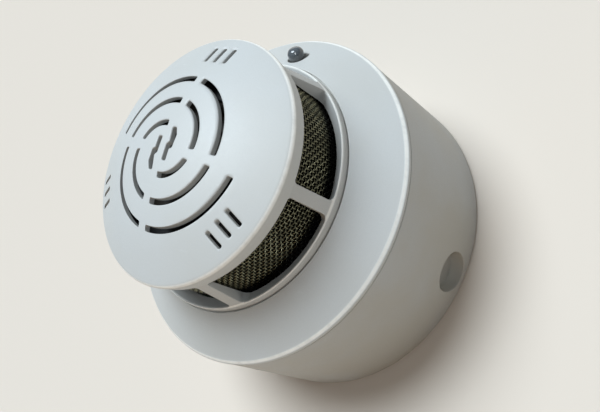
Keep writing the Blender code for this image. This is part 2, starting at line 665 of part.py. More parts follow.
def make_smoke_chamber():
    """The black floor with its two optics, and the labyrinth that keeps daylight out."""
    rest = HEAD_BOARD_TOP + GAP
    base = turned("chamber_base", [(0, CHAMBER_FLOOR), (32.0e-3, CHAMBER_FLOOR),
                                   (32.3e-3, MESH_LOW - GAP), (33.6e-3, MESH_LOW - GAP),
                                   (33.6e-3, CHAMBER_LOW), (0, CHAMBER_LOW)], BLACK_PLASTIC, sides=32)
    for index, angle in enumerate((90, 210, 330)):
        unite(base, cylinder(f"chamber_foot_{index}", 1.8e-3, rest, CHAMBER_LOW + 0.5e-3,
                             polar(29e-3, angle), sides=12))
    for name, angle in OPTIC_ANGLES.items():
        lie = (turn(angle) @ Matrix.Translation((0, 0, OPTIC_AXIS_Z))
               @ Matrix.Rotation(-math.pi / 2, 4, "Y"))
        holder = box(name + "_holder", (14.5e-3, -4.2e-3, CHAMBER_FLOOR - 0.5e-3),
                     (22.5e-3, 4.2e-3, 59.2e-3))
        holder.matrix_world = turn(angle)
        bore = cylinder(name + "_bore", 2.85e-3, -24e-3, -12e-3)
        bore.matrix_world = lie
        unite(base, holder)
        cut(base, bore)
        optic = turned(name, [(0, -12.6e-3), (1.6e-3, -13.1e-3), (2.5e-3, -14.9e-3),
                              (2.5e-3, -20.5e-3), (0, -20.5e-3)],
                       CLEAR_BLUE if name == "ir_emitter" else BLACK_LENS, sides=16)
        optic.matrix_world = lie

    cover = cylinder("labyrinth_cover", LABYRINTH_RADIUS, 66.0e-3, LABYRINTH_TOP, sides=32,
                     looks=BLACK_PLASTIC)
    vane = [(24.6e-3, -0.6e-3), (27.0e-3, 1.9e-3), (29.4e-3, -0.6e-3), (29.4e-3, -1.9e-3),
            (27.0e-3, 0.6e-3), (24.6e-3, -1.9e-3)]
    for index in range(VANE_COUNT):
        unite(cover, prism(f"vane_{index}", vane, CHAMBER_FLOOR + GAP, 66.5e-3,
                           matrix=turn(360 / VANE_COUNT * index)))


def make_piezo_sounder():
    holder = [(17.9e-3, 74.3e-3), (19.0e-3, 74.3e-3), (19.0e-3, 69.4e-3), (25.6e-3, 69.4e-3),
              (25.6e-3, 75.0e-3), (HOLDER_RADIUS, 75.0e-3), (HOLDER_RADIUS, HOLDER_LOW),
              (3.0e-3, HOLDER_LOW), (3.0e-3, 69.4e-3), (16.4e-3, 69.4e-3),
              (16.4e-3, PIEZO_LOW - GAP), (17.9e-3, PIEZO_LOW - GAP)]
    turned("piezo_holder", holder, BLACK_PLASTIC, sides=28)
    cylinder("piezo_plate", PIEZO_RADIUS, PIEZO_LOW, PIEZO_LOW + 0.3e-3, sides=24, looks=BRASS)
    cylinder("piezo_ceramic", 12.5e-3, PIEZO_LOW + 0.6e-3, PIEZO_LOW + 0.9e-3, sides=24,
             looks=CERAMIC)


def make_head_board():
    board = cylinder("head_board", HEAD_BOARD_RADIUS, HEAD_BOARD_LOW, HEAD_BOARD_TOP, sides=40,
                     looks=BOARD_GREEN)
    for index, angle in enumerate(HEAD_SCREW_ANGLES):
        cut(board, hole(f"head_board_hole_{index}", polar(HEAD_SCREW_CIRCLE, angle), 1.5e-3,
                        HEAD_BOARD_LOW - 1e-3, HEAD_BOARD_TOP + 1e-3))
    rest = HEAD_BOARD_TOP + GAP
    chip = box("microcontroller", (-4.5e-3, -4.5e-3, rest), (4.5e-3, 4.5e-3, rest + 1.4e-3),
               BLACK_PLASTIC)
    soften(chip, 0.25e-3)
    drum = [(0, rest + 3.2e-3), (2.9e-3, rest + 3.2e-3), (2.9e-3, rest + 2.5e-3),
            (2.3e-3, rest + 2.5e-3), (2.3e-3, rest + 0.7e-3), (2.9e-3, rest + 0.7e-3),
            (2.9e-3, rest), (0, rest)]
    coil = turned("boost_coil", drum, BLACK_PLASTIC, sides=16)
    coil.location = (*polar(37.2e-3, 0), 0)


def make_head_base_plate():
    profile = [(0, PLATE_TOP), (46.2e-3, PLATE_TOP), (46.2e-3, 42.7e-3), (PLATE_RADIUS, 42.7e-3),
               (PLATE_RADIUS, PLATE_LOW), (COLLAR_OUTER, PLATE_LOW), (COLLAR_OUTER, COLLAR_LOW),
               (COLLAR_INNER, COLLAR_LOW), (COLLAR_INNER, PLATE_LOW), (0, PLATE_LOW)]
    plate = turned("head_base_plate", profile, SOCKET_GREY)
    for index, angle in enumerate(LUG_ANGLES):
        lug = sector(COLLAR_OUTER - 0.8e-3, LUG_OUTER, angle - LUG_HALF, angle + LUG_HALF)
        unite(plate, prism(f"lug_{index}", lug, COLLAR_LOW + 0.1e-3, LUG_TOP))
    for index, angle in enumerate(HEAD_SCREW_ANGLES):
        at = polar(HEAD_SCREW_CIRCLE, angle)
        unite(plate, cylinder(f"plate_pillar_{index}", 2.6e-3, PLATE_TOP - 0.5e-3,
                              HEAD_BOARD_LOW - GAP, at, sides=16))
        cut(plate, hole(f"plate_hole_{index}", at, 1.5e-3, PLATE_LOW - 1e-3, HEAD_BOARD_LOW))
        screw(f"head_screw_{index + 1}", at, PLATE_LOW - GAP, 2.4e-3, 6.3e-3, up=False)
    for index, angle in enumerate(CONTACT_ANGLES):
        at = polar(CONTACT_CIRCLE, angle)
        cut(plate, hole(f"stud_hole_{index}", at, 1.4e-3, PLATE_LOW - 1e-3, PLATE_TOP + 1e-3))
        pad = sector(CONTACT_CIRCLE - 2.5e-3, CONTACT_CIRCLE + 2.5e-3, angle - 11, angle + 11)
        contact = prism(f"contact_plate_{index + 1}", pad, PLATE_LOW - 0.7e-3, PLATE_LOW - GAP, BRASS)
        unite(contact, hole(f"contact_stud_{index}", at, 1.1e-3, PLATE_LOW - 0.5e-3,
                            HEAD_BOARD_LOW - GAP))
    cut(plate, box("dip_window", (DIP_X - 5.5e-3, -3.4e-3, PLATE_LOW - 1e-3),
                   (DIP_X + 5.5e-3, 3.4e-3, PLATE_TOP + 1e-3)),
        box("trimmer_window", (TRIMMER_X - 3.6e-3, -3.6e-3, PLATE_LOW - 1e-3),
            (TRIMMER_X + 3.6e-3, 3.6e-3, PLATE_TOP + 1e-3)))


def make_setting_controls():
    """The four-way switch and the volume trimmer, which face backwards through the base plate."""
    top = HEAD_BOARD_LOW - GAP
    low = top - 3.0e-3
    pocket_top = low + 1.4e-3
    body = box("dip_switch", (DIP_X - 5.15e-3, -3.05e-3, low), (DIP_X + 5.15e-3, 3.05e-3, top),
               SWITCH_RED)
    slider_half = (0.5e-3, 0.65e-3)
    for index in range(4):
        x = DIP_X + DIP_PITCH * (index - 1.5)
        rest_y = -DIP_TRAVEL / 2
        reach = slider_half[1] + DIP_TRAVEL / 2 + GAP
        cut(body, box(f"slider_pocket_{index}", (x - slider_half[0] - GAP, -reach, low - 1e-3),
                      (x + slider_half[0] + GAP, reach, pocket_top)))
        slider = box(f"dip_slider_{index + 1}",
                     (x - slider_half[0], rest_y - slider_half[1], low - 0.6e-3),
                     (x + slider_half[0], rest_y + slider_half[1], pocket_top - GAP),
                     SLIDER_WHITE)
        soften(slider, 0.12e-3)
    trimmer = box("volume_trimmer", (TRIMMER_X - 3.2e-3, -3.2e-3, low + 0.1e-3),
                  (TRIMMER_X + 3.2e-3, 3.2e-3, top), TRIMMER_BLUE)
    cut(trimmer, hole("rotor_bore", (TRIMMER_X, 0), 2.5e-3, low - 1e-3, low + 1.7e-3, 16))
    rotor = cylinder("volume_rotor", 2.2e-3, low - 0.5e-3, low + 1.4e-3, looks=ROTOR_WHITE)
    cut(rotor, box("rotor_slot", (-1.7e-3, -0.3e-3, low - 2e-3), (1.7e-3, 0.3e-3, low + 0.2e-3)))
    rotor.location = (TRIMMER_X, 0, 0)
    bpy.data.objects["rotor_slot"].location = (TRIMMER_X, 0, 0)


make_back_box()
make_cable_grommet()
make_interface_board()
make_bayonet_socket()
make_contact_blades()
make_tamper_switch()
make_hookup_wires()
make_shoulder_housing()
make_status_light()
make_grille_cap()
make_insect_mesh()
make_smoke_chamber()
make_piezo_sounder()
make_head_board()
make_head_base_plate()
make_setting_controls()
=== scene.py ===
"""Visible pieces and finishes of a round smoke alarm siren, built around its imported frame.

Lengths in the outlines below are in millimetres and become metres where a mesh is made.
"""
import json
import math

import bmesh
import bpy
import numpy as np
from bpy.props import FloatProperty, FloatVectorProperty, IntProperty, PointerProperty
from mathutils import Matrix, Vector

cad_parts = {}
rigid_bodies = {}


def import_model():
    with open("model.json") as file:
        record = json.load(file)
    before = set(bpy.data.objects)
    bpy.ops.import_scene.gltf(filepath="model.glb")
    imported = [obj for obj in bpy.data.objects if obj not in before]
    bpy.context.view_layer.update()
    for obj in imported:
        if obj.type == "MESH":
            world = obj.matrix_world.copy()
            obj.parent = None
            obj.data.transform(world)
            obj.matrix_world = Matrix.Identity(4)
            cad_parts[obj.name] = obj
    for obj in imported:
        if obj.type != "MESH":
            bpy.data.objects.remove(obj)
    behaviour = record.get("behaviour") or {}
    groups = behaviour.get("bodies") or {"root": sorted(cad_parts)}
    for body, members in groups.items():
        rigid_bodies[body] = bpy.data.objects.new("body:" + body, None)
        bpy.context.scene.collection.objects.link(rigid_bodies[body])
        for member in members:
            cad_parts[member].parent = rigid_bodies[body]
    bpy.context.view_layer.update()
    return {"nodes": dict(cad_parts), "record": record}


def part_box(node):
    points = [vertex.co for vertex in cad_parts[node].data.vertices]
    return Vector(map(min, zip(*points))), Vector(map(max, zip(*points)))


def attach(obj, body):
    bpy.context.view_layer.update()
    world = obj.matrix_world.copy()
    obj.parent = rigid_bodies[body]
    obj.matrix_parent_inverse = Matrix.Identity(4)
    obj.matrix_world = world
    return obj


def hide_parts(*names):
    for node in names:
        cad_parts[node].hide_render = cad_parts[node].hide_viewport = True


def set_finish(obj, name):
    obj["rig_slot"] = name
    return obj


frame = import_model()

bl_info = {
    "name": "Smoke Alarm Siren",
    "version": (1, 0, 0),
    "blender": (4, 5, 0),
    "location": "3D View > Sidebar > Siren",
    "description": "Builds the fine pieces, finishes and stage of a round smoke alarm siren",
    "category": "Object",
}

MM = 0.001

# Back box
BOX_FLOOR = 2.4
BOX_BACK_RADIUS = 49.9
BOX_FRONT_RADIUS = 50.6
BOX_TOP = 41.5
KNOCKOUT_RADIUS = 6.0
KNOCKOUT_PLACE = (-2.7, 8.3)
KNOCKOUT_FLOOR = 45.4
CUP_BACK = 44.1
CUP_FRONT = 49.1
CUP_RADIUS = 7.3
BOSS_ANGLES = (90, 210, 330)
BOSS_CIRCLE = 34.5
BOARD_PILLARS = ((-21.0, -35.0), (21.0, -35.0))
SCREW_HOLE = 1.5
ENTRY_RADIUS = 8.3
WALL_SLOT_SIDES = (-30.0, 30.0)
WALL_SLOT_RADIUS = 2.2
WALL_SLOT_HALF = 2.3
CUT_BELOW = -1.0
CUT_ABOVE = 4.0

# Shoulder
CONE_TOP = (37.8, 52.2)
CONE_EDGE = (50.0, 43.7)
CONE_DROP = 2.43
POST_ANGLES = (30, 150, 270)
POST_CIRCLE = 42.5
LIGHT_CIRCLE = 42.0
LIGHT_HOLE_ROOM = 0.4
LIGHT_HOLE_TIP = 1.5
LIGHT_HOLE_REACH = 2.3
LIGHT_HOLE_TURN = 45
LIGHT_HOLE_DEPTH = 3.2
CONE_CURVE = 76.0

# Status light
LEAD_SPREAD = 1.27
LEAD_RADIUS = 0.28
LEAD_FOOT = 44.1

# Grille cap
DOME_TOP = 83.1
DOME_DROP_2 = 17.8
DOME_DROP_4 = 3.5
DOME_SPAN = 50.0
DOME_LIFT_FROM = 27.0
DOME_LIFT = 0.29
CAP_WALL = 1.6
RIM_CENTRE = (34.25, 72.3)
RIM_RADIUS = 1.7
LIP = (35.25, 68.25)
SILL = (37.25, 54.45)
WINDOW_RADIUS = 36.2
SILL_FALL = 0.72
WINDOW_MIDDLES = (28.8, 88.8, 148.8, 208.8, 268.8, 328.8)
SPIRAL_START = 24.4
SPIRAL_PITCH = 14.3
SPIRAL_FROM = -5.8
SPIRAL_TURN = 430.0
SPIRAL_BRIDGE = 3.0
STROKE = ((2.4, 6.2), (3.6, 4.2), (3.7, 0.7), (2.8, 0.2), (3.1, -3.1), (1.6, -3.1),
          (1.3, 1.3), (2.1, 2.2), (0.9, 6.2))
PATTERN_CENTRE = (-0.4, -0.6, 0.0)
VENT_ANGLES = (90, 210, 330)
VENT_SPAN = (27.4, 32.4)
VENT_WIDTH = 1.25
VENT_SHIFTS = (-3.85, 0.0, 3.85)
SPIRAL_END = 0.35
VENT_END = 0.4
LINTEL_CORNER = 0.9
GRILLE_CUT = 7.0
VENT_CUT = 5.0
WINDOW_CUT = 3.9
HOOK_ANGLES = (0, 120, 240)
HOOK_STEPS = ((47.8, 49.6, (34.0, 34.9), 6), (47.9, 48.9, (34.5, 36.2), 5))

# Insect guard
GUARD_RADIUS = 33.2
GUARD_LOW = 51.0
GUARD_TOP = 69.8
GUARD_MARGIN = 0.6
WIRE_THICKNESS = 0.19
WIRE_SWING = 0.2
WIRE_SIDES = 6
STATIONS_PER_CELL = 3

# Painted highlights: pale lines along turned edges where the rounded edges catch the light: (radius,
# height, width)
SHELL_RIM_HIGHLIGHTS = ((50.25, 43.35, 0.8), (35.75, 73.0, 0.9), (37.15, 54.4, 0.7))

# How a cut edge opens towards the surface: (height above it, how far it has widened)
EDGE_STEPS = ((0.30, 0.85), (0.0, 0.26), (-0.10, 0.10), (-0.32, 0.0))
WINDOW_EDGE_STEPS = ((0.30, 0.55), (0.0, 0.14), (-0.08, 0.04), (-0.22, 0.0))

# Colours that no setting changes
DUST = (0.16, 0.14, 0.11)
# Near black for painted shade, with some dark dirt, at the foot of the insect guard
SOOT_AND_SHADE = (0.008, 0.008, 0.007)
# Painted shade at the foot of the status lens
LENS_FOOT_SHADE = (0.02025, 0.0234, 0.02925)
FLOOR_COLOUR = (0.66, 0.59, 0.52, 1)
SKY_COLOUR = (0.86, 0.93, 1.0, 1)
SKY_STRENGTH = 0.06

# Lights: (name, direction towards it, share of the key light, angle in degrees, colour)
LIGHTS = (("key", (-0.27, 0.27, 0.93), 1.0, 36, (0.88, 0.99, 1.07)),
          ("front", (0.52, -0.08, 0.85), 0.14, 16, (0.94, 0.98, 1.0)),
          ("warm fill", (0.20, -0.90, 0.30), 0.35 / 3.75, 50, (1.0, 0.62, 0.26)))

# Camera: where it stands in metres, and its own right, up and back directions
CAMERA_PLACE = (0.1655, -0.0240, 0.2058)
CAMERA_RIGHT = (0.7164, 0.3463, -0.6056)
CAMERA_UP = (-0.1896, 0.9320, 0.3087)
CAMERA_BACK = (0.6714, -0.1063, 0.7334)


# ------------------------------------------------------------------ settings

class SirenSizes(bpy.types.PropertyGroup):
    turned_steps: IntProperty(
        name="Steps round", description="Faces round each turned shell", default=288, min=64, max=720)
    slot_width: FloatProperty(
        name="Slot width", description="Width of the spiral sound slots", default=1.6 * MM,
        min=0.8 * MM, max=2.4 * MM, unit="LENGTH", subtype="DISTANCE")
    window_half: FloatProperty(
        name="Window half angle", description="Half of the angle that each side window takes",
        default=math.radians(26.9), unit="ROTATION", subtype="ANGLE")
    window_corner: FloatProperty(
        name="Window corner", description="Radius of the lower corners of a side window",
        default=1.7 * MM, unit="LENGTH", subtype="DISTANCE")
    wire_count: IntProperty(
        name="Upright wires", description="Upright wires in the insect guard, an even number",
        default=196, min=60, max=300, step=2)
    hoop_count: IntProperty(
        name="Hoop wires", description="Hoop wires in the insect guard", default=17, min=5, max=30)
    wire_width: FloatProperty(
        name="Wire width", description="Width of a guard wire", default=0.42 * MM,
        unit="LENGTH", subtype="DISTANCE")
    light_radius: FloatProperty(
        name="Status light radius", description="Radius of the status light's lens",
        default=2.5 * MM, unit="LENGTH", subtype="DISTANCE")


class SirenColours(bpy.types.PropertyGroup):
    shell: FloatVectorProperty(
        name="Shell plastic", description="Colour of the outer mouldings", size=3,
        subtype="COLOR", default=(0.56, 0.57, 0.565), min=0, max=1)
    shell_shade: FloatVectorProperty(
        name="Shell mottling", description="Colour that the outer mouldings drift towards", size=3,
        subtype="COLOR", default=(0.54, 0.54, 0.52), min=0, max=1)
    guard: FloatVectorProperty(
        name="Guard wire", description="Colour of the insect guard's wires", size=3,
        subtype="COLOR", default=(0.20, 0.195, 0.13), min=0, max=1)
    lens: FloatVectorProperty(
        name="Status lens", description="Colour of the smoked status lens", size=3,
        subtype="COLOR", default=(0.085, 0.095, 0.105), min=0, max=1)


class SirenStage(bpy.types.PropertyGroup):
    floor_size: FloatProperty(
        name="Floor size", description="Side of the square floor", default=60.0,
        unit="LENGTH", subtype="DISTANCE")
    key_strength: FloatProperty(
        name="Key light", description="Strength of the broad key light", default=3.75, min=0)
    lens_length: FloatProperty(
        name="Camera lens", description="Focal length of the camera in millimetres",
        default=46.53, unit="CAMERA")


# ------------------------------------------------------------------ shapes

def new_piece(name, points, faces, body=None, slot=None, replaces=(), sharp=38.0):
    """A mesh object at the origin from points in metres and faces of point numbers."""
    mesh = bpy.data.meshes.new(name)
    mesh.from_pydata(np.asarray(points).tolist(), [], faces)
    mesh.validate()
    mesh.shade_smooth()
    mesh.set_sharp_from_angle(angle=math.radians(sharp))
    piece = bpy.data.objects.new(name, mesh)
    bpy.context.scene.collection.objects.link(piece)
    if body:
        register_piece(piece, body, slot, replaces)
    return piece


def register_piece(piece, body, slot, replaces):
    """Tells the frame which body a piece rides on, its finish, and the nodes it stands for."""
    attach(piece, body)
    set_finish(piece, slot)
    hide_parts(*replaces)


def grid_faces(rows, columns, close_rows=False, close_columns=False, start=0):
    """Four-sided faces of a grid of points stored row by row, running down rows then along columns."""
    row = np.arange(rows if close_rows else rows - 1)
    column = np.arange(columns if close_columns else columns - 1)
    i, j = np.meshgrid(row, column, indexing="ij")
    low_i, high_i = i.ravel(), (i.ravel() + 1) % rows
    low_j, high_j = j.ravel(), (j.ravel() + 1) % columns
    quads = np.stack([low_i * columns + low_j, high_i * columns + low_j,
                      high_i * columns + high_j, low_i * columns + high_j], 1)
    return (quads + start).tolist()


def rounded(corners, steps=5, closed=False):
    """A line of (x, y, radius) corners with each corner turned into an arc of its radius.

    An arc touches both sides at radius / tan(half the corner's angle) from the corner.
    """
    corners = np.array(corners, float)
    line = []
    count = len(corners)
    for index, (x, y, radius) in enumerate(corners):
        here = np.array((x, y))
        if radius <= 0 or (not closed and index in (0, count - 1)):
            line.append(here)
            continue
        to_last = corners[index - 1, :2] - here
        to_next = corners[(index + 1) % count, :2] - here
        room = min(np.linalg.norm(to_last), np.linalg.norm(to_next))
        to_last /= np.linalg.norm(to_last)
        to_next /= np.linalg.norm(to_next)
        half = math.acos(np.clip(to_last @ to_next, -1, 1)) / 2
        reach = min(radius / math.tan(half), room * 0.49)
        radius = reach * math.tan(half)
        middle = to_last + to_next
        middle /= np.linalg.norm(middle)
        centre = here + middle * radius / math.sin(half)
        first, last = here + to_last * reach - centre, here + to_next * reach - centre
        sweep = math.pi - 2 * half
        for share in np.linspace(0, 1, steps + 1):
            mix = (math.sin((1 - share) * sweep) * first + math.sin(share * sweep) * last)
            line.append(centre + mix / math.sin(sweep))
    return np.array(line)


def resampled(line, longest):
    """The same line with its long straight stretches divided into steps no longer than longest."""
    parts = []
    for a, b in zip(line[:-1], line[1:]):
        steps = max(1, math.ceil(np.linalg.norm(b - a) / longest))
        parts.append(a + (b - a) * np.linspace(0, 1, steps, endpoint=False)[:, None])
    return np.vstack(parts + [line[-1:]])


def turned(profile, steps, at=(0.0, 0.0)):
    """A profile of (radius, height) swept round an upright axis.

    Point (i, j) is (r_i cos a_j, r_i sin a_j, z_i) with a_j the j-th of even angles. A profile
    that starts and ends on the axis is closed by fans at its two poles, and any other one
    is joined end to end.
    """
    profile = np.asarray(profile, float)
    poles = profile[0, 0] < 1e-9
    ring = profile[1:-1] if poles else profile
    angle = np.linspace(0, 2 * math.pi, steps, endpoint=False)
    x = ring[:, :1] * np.cos(angle) + at[0]
    y = ring[:, :1] * np.sin(angle) + at[1]
    z = np.repeat(ring[:, 1:], steps, axis=1)
    points = np.stack([x, y, z], -1).reshape(-1, 3)
    faces = grid_faces(len(ring), steps, not poles, True)
    if poles:
        first, last = len(points), len(points) + 1
        points = np.vstack([points, [at[0], at[1], profile[0, 1]], [at[0], at[1], profile[-1, 1]]])
        j = np.arange(steps)
        after = (j + 1) % steps
        base = (len(ring) - 1) * steps
        faces += np.stack([np.full(steps, first), j, after], 1).tolist()
        faces += np.stack([base + j, np.full(steps, last), base + after], 1).tolist()
    return points, faces


def joined(parts):
    """Several (points, faces) shapes as one."""
    points, faces, start = [], [], 0
    for part_points, part_faces in parts:
        points.append(np.asarray(part_points, float))
        faces += [[corner + start for corner in face] for face in part_faces]
        start += len(part_points)
    return np.vstack(points), faces


def stacked(outlines):
    """Closed outlines of equal length joined in a stack, with a face over each end."""
    points = np.asarray(outlines, float)
    levels, count = points.shape[:2]
    faces = grid_faces(levels, count, False, True)
    faces += [list(range(count)), list(range((levels - 1) * count, levels * count))]
    return points.reshape(-1, 3), faces


def ladder(rails):
    """A long cutter from two rails of points at each level, as an array (level, rail, station, xyz).

    Rungs between the rails close its top and bottom, so it can bend without a face cutting across.
    """
    levels, _, stations, _ = rails.shape
    number = np.arange(levels * 2 * stations).reshape(levels, 2, stations)
    quads = []
    for side in (0, 1):
        quads.append(np.stack([number[:-1, side, :-1], number[:-1, side, 1:],
                               number[1:, side, 1:], number[1:, side, :-1]], -1).reshape(-1, 4))
    for end in (0, -1):
        quads.append(np.stack([number[:-1, 0, end], number[:-1, 1, end],
                               number[1:, 1, end], number[1:, 0, end]], -1))
        quads.append(np.stack([number[end, 0, :-1], number[end, 0, 1:],
                               number[end, 1, 1:], number[end, 1, :-1]], -1))
    return rails.reshape(-1, 3), np.vstack(quads).tolist()


def rail_shape(length, half, corners, grow, stations):
    """Along and across positions of a slot's two rails, with rounded ends, widened by grow.

    Across = half + grow, less the corner arc c - sqrt(c^2 - (c - e)^2) within c of an end,
    where e is the distance from that end. corners gives c for the lower and the upper rail.
    """
    swing = np.linspace(0, math.pi / 2, 6)
    reach = max(corners) + grow
    ends = reach * (1 - np.cos(swing))
    total = length + 2 * grow
    middle = np.linspace(reach, total - reach, stations)[1:-1]
    along = np.concatenate([ends, middle, total - ends[::-1]])
    edge = np.minimum(along, total - along)
    across = []
    for corner in corners:
        c = corner + grow
        inside = np.clip(c - edge, 0, c)
        across.append(half + grow - (c - np.sqrt(c * c - inside * inside)))
    return along - grow, np.array(across)


def grown(corners, distance, radius):
    """A closed outline of straight sides moved outwards by a distance, with rounded corners."""
    corners = np.array(corners, float)
    last, after = np.roll(corners, 1, 0), np.roll(corners, -1, 0)
    into = (corners - last) / np.linalg.norm(corners - last, axis=1)[:, None]
    out = (after - corners) / np.linalg.norm(after - corners, axis=1)[:, None]
    turn = into[:, 0] * out[:, 1] - into[:, 1] * out[:, 0]
    area = np.sum(corners[:, 0] * after[:, 1] - corners[:, 1] * after[:, 0])
    side = -1 if area > 0 else 1
    normal_in = side * np.stack([-into[:, 1], into[:, 0]], 1)
    normal_out = side * np.stack([-out[:, 1], out[:, 0]], 1)
    bisector = normal_in + normal_out
    bisector /= np.linalg.norm(bisector, axis=1)[:, None]
    moved = corners + bisector * (distance / np.sum(bisector * normal_in, 1))[:, None]
    outward = np.sign(area) * turn > 0
    radii = np.where(outward, radius + distance, np.maximum(radius - distance, 0.05))
    return rounded(np.column_stack([moved, radii]), 4, closed=True)


def bake(piece, tools, operation):
    """Cuts or adds the tool shapes, with their faces turned outwards first, and keeps the result."""
    points, faces = joined(tools)
    tool = new_piece(piece.name + "_tool", np.asarray(points) * MM, faces)
    shape = bmesh.new()
    shape.from_mesh(tool.data)
    bmesh.ops.recalc_face_normals(shape, faces=shape.faces)
    shape.to_mesh(tool.data)
    shape.free()
    modifier = piece.modifiers.new("cut", "BOOLEAN")
    modifier.operation = operation
    modifier.object = tool
    modifier.solver = "EXACT"
    bpy.context.view_layer.update()
    depsgraph = bpy.context.evaluated_depsgraph_get()
    result = bpy.data.meshes.new_from_object(piece.evaluated_get(depsgraph))
    if len(result.polygons) < 100:
        raise RuntimeError(f"{piece.name} came out of its cut empty")
    old = piece.data
    piece.modifiers.clear()
    piece.data = result
    bpy.data.meshes.remove(old)
    bpy.data.objects.remove(tool)
    result.name = piece.name


def settle(piece, sharp=38.0):
    """Welds what a cut left, marks its sharp edges, and lets large faces decide the shading."""
    shape = bmesh.new()
    shape.from_mesh(piece.data)
    bmesh.ops.remove_doubles(shape, verts=shape.verts, dist=2e-6)
    bmesh.ops.dissolve_degenerate(shape, edges=shape.edges, dist=2e-6)
    shape.to_mesh(piece.data)
    shape.free()
    piece.data.shade_smooth()
    piece.data.set_sharp_from_angle(angle=math.radians(sharp))
    weigh = piece.modifiers.new("large faces first", "WEIGHTED_NORMAL")
    weigh.keep_sharp = True
    weigh.weight = 80


def polar(radius, degrees):
    """Flat points at a radius and an angle: (r cos a, r sin a)."""
    angle = np.radians(degrees)
    return np.stack([radius * np.cos(angle), radius * np.sin(angle)], -1)


def turned_about_z(points, degrees):
    """Points turned about the upright axis."""
    angle = math.radians(degrees)
    spin = np.array(((math.cos(angle), -math.sin(angle), 0),
                     (math.sin(angle), math.cos(angle), 0), (0, 0, 1)))
    return np.asarray(points) @ spin.T


def moved_by(points, matrix):
    """Points carried by a 4 x 4 matrix."""
    matrix = np.array(matrix)
    return np.asarray(points) @ matrix[:3, :3].T + matrix[:3, 3]


def ring_outline(radius, count=64, start=0.0):
    """Even points round a circle in the plane."""
    return polar(np.full(count, radius), start + np.linspace(0, 360, count, endpoint=False))


def upright(outline, low, high):
    """A flat outline carried straight up."""
    return stacked([np.column_stack([outline, np.full(len(outline), z)]) for z in (low, high)])


# ------------------------------------------------------------------ pieces

def box_radius(height):
    """Outer radius of the back box, which widens evenly from back to front."""
    return BOX_BACK_RADIUS + (BOX_FRONT_RADIUS - BOX_BACK_RADIUS) * height / BOX_TOP


def edge_levels(wall_depth, above=1.2, steps=EDGE_STEPS):
    """(height, growth) from inside a wall, over its softened edge, to clear above the surface."""
    return [(-wall_depth, 0.0)] + list(reversed(steps)) + [(above, steps[0][1])]


def build_back_box(sizes):
    """The back box: a turned cup with a tongue, bosses, wall slots and the knock-out pocket.

    The pocket's outlines are circles in (y, z); on the wall x = sqrt(R(z)^2 - y^2) + height.
    """
    profile = rounded([(0, BOX_FLOOR, 0), (47.4, BOX_FLOOR, 0.8), (48.0, 42.1, 0.15),
                       (49.0, 42.1, 0.2), (49.0, BOX_TOP, 0), (BOX_FRONT_RADIUS, BOX_TOP, 0.45),
                       (BOX_BACK_RADIUS, 0, 1.3), (0, 0, 0)], steps=7)
    points, faces = turned(resampled(profile, 2.6), sizes.turned_steps)
    piece = new_piece("box_shell", points * MM, faces, "base", "white_plastic", ["back_box"])

    added, cuts = [], []
    for angle in BOSS_ANGLES:
        at = polar(BOSS_CIRCLE, angle)
        boss = rounded([(0, 1.4, 0), (3.5, 1.4, 0), (3.2, 31.7, 0.35), (0, 31.7, 0)])[::-1]
        added.append(turned(boss, 40, at))
        cuts.append(upright(ring_outline(SCREW_HOLE, 24) + at, 22.0, 33.0))
    for at in BOARD_PILLARS:
        pillar = rounded([(0, 1.4, 0), (2.9, 1.4, 0), (2.6, 7.7, 0.3), (0, 7.7, 0)])[::-1]
        added.append(turned(pillar, 36, at))
        cuts.append(upright(ring_outline(SCREW_HOLE, 24) + at, 3.2, 9.0))
    circle = ring_outline(1.0)
    cup = [np.column_stack([np.full(64, x), circle * radius + KNOCKOUT_PLACE])
           for x, radius in ((CUP_BACK, CUP_RADIUS - 0.45), (CUP_BACK + 0.4, CUP_RADIUS),
                             (CUP_FRONT, CUP_RADIUS))]
    added.append(stacked(cup))
    bake(piece, added, "UNION")

    pocket = []
    for x, shrink in ((KNOCKOUT_FLOOR, 0.4), (KNOCKOUT_FLOOR + 0.12, 0.12),
                      (KNOCKOUT_FLOOR + 0.4, 0)):
        pocket.append(np.column_stack([
            np.full(64, x), circle * (KNOCKOUT_RADIUS - shrink) + KNOCKOUT_PLACE]))
    for height, growth in reversed(EDGE_STEPS):
        flat = circle * (KNOCKOUT_RADIUS + growth) + KNOCKOUT_PLACE
        x = np.sqrt(box_radius(flat[:, 1]) ** 2 - flat[:, 0] ** 2) + height
        pocket.append(np.column_stack([x, flat]))
    far = pocket[-1].copy()
    far[:, 0] = 55.0
    pocket.append(far)
    cuts.append(stacked(pocket))

    entry = [np.column_stack([circle * (ENTRY_RADIUS + growth), np.full(64, z)])
             for z, growth in ((CUT_BELOW, 0.5), (0.0, 0.5), (0.4, 0.1), (0.8, 0.0),
                               (CUT_ABOVE, 0.0))]
    cuts.append(stacked(entry))
    bend = np.full(13, WALL_SLOT_RADIUS)
    slot = np.vstack([polar(bend, np.linspace(0, 180, 13)) + (0, WALL_SLOT_HALF),
                      polar(bend, np.linspace(180, 360, 13)) - (0, WALL_SLOT_HALF)])
    for side in WALL_SLOT_SIDES:
        levels = [np.column_stack([slot * (1 + growth / WALL_SLOT_RADIUS) + (side, 0),
                                   np.full(len(slot), z)])
                  for z, growth in ((CUT_BELOW, 0.3), (0.0, 0.3), (0.3, 0.0), (CUT_ABOVE, 0.0))]
        cuts.append(stacked(levels))
    bake(piece, cuts, "DIFFERENCE")
    settle(piece)
    return piece


def cone_height(radius):
    """Height of the shoulder's face, which falls evenly from its top to its edge."""
    slope = (CONE_TOP[1] - CONE_EDGE[1]) / (CONE_EDGE[0] - CONE_TOP[0])
    return CONE_EDGE[1] + (CONE_EDGE[0] - radius) * slope


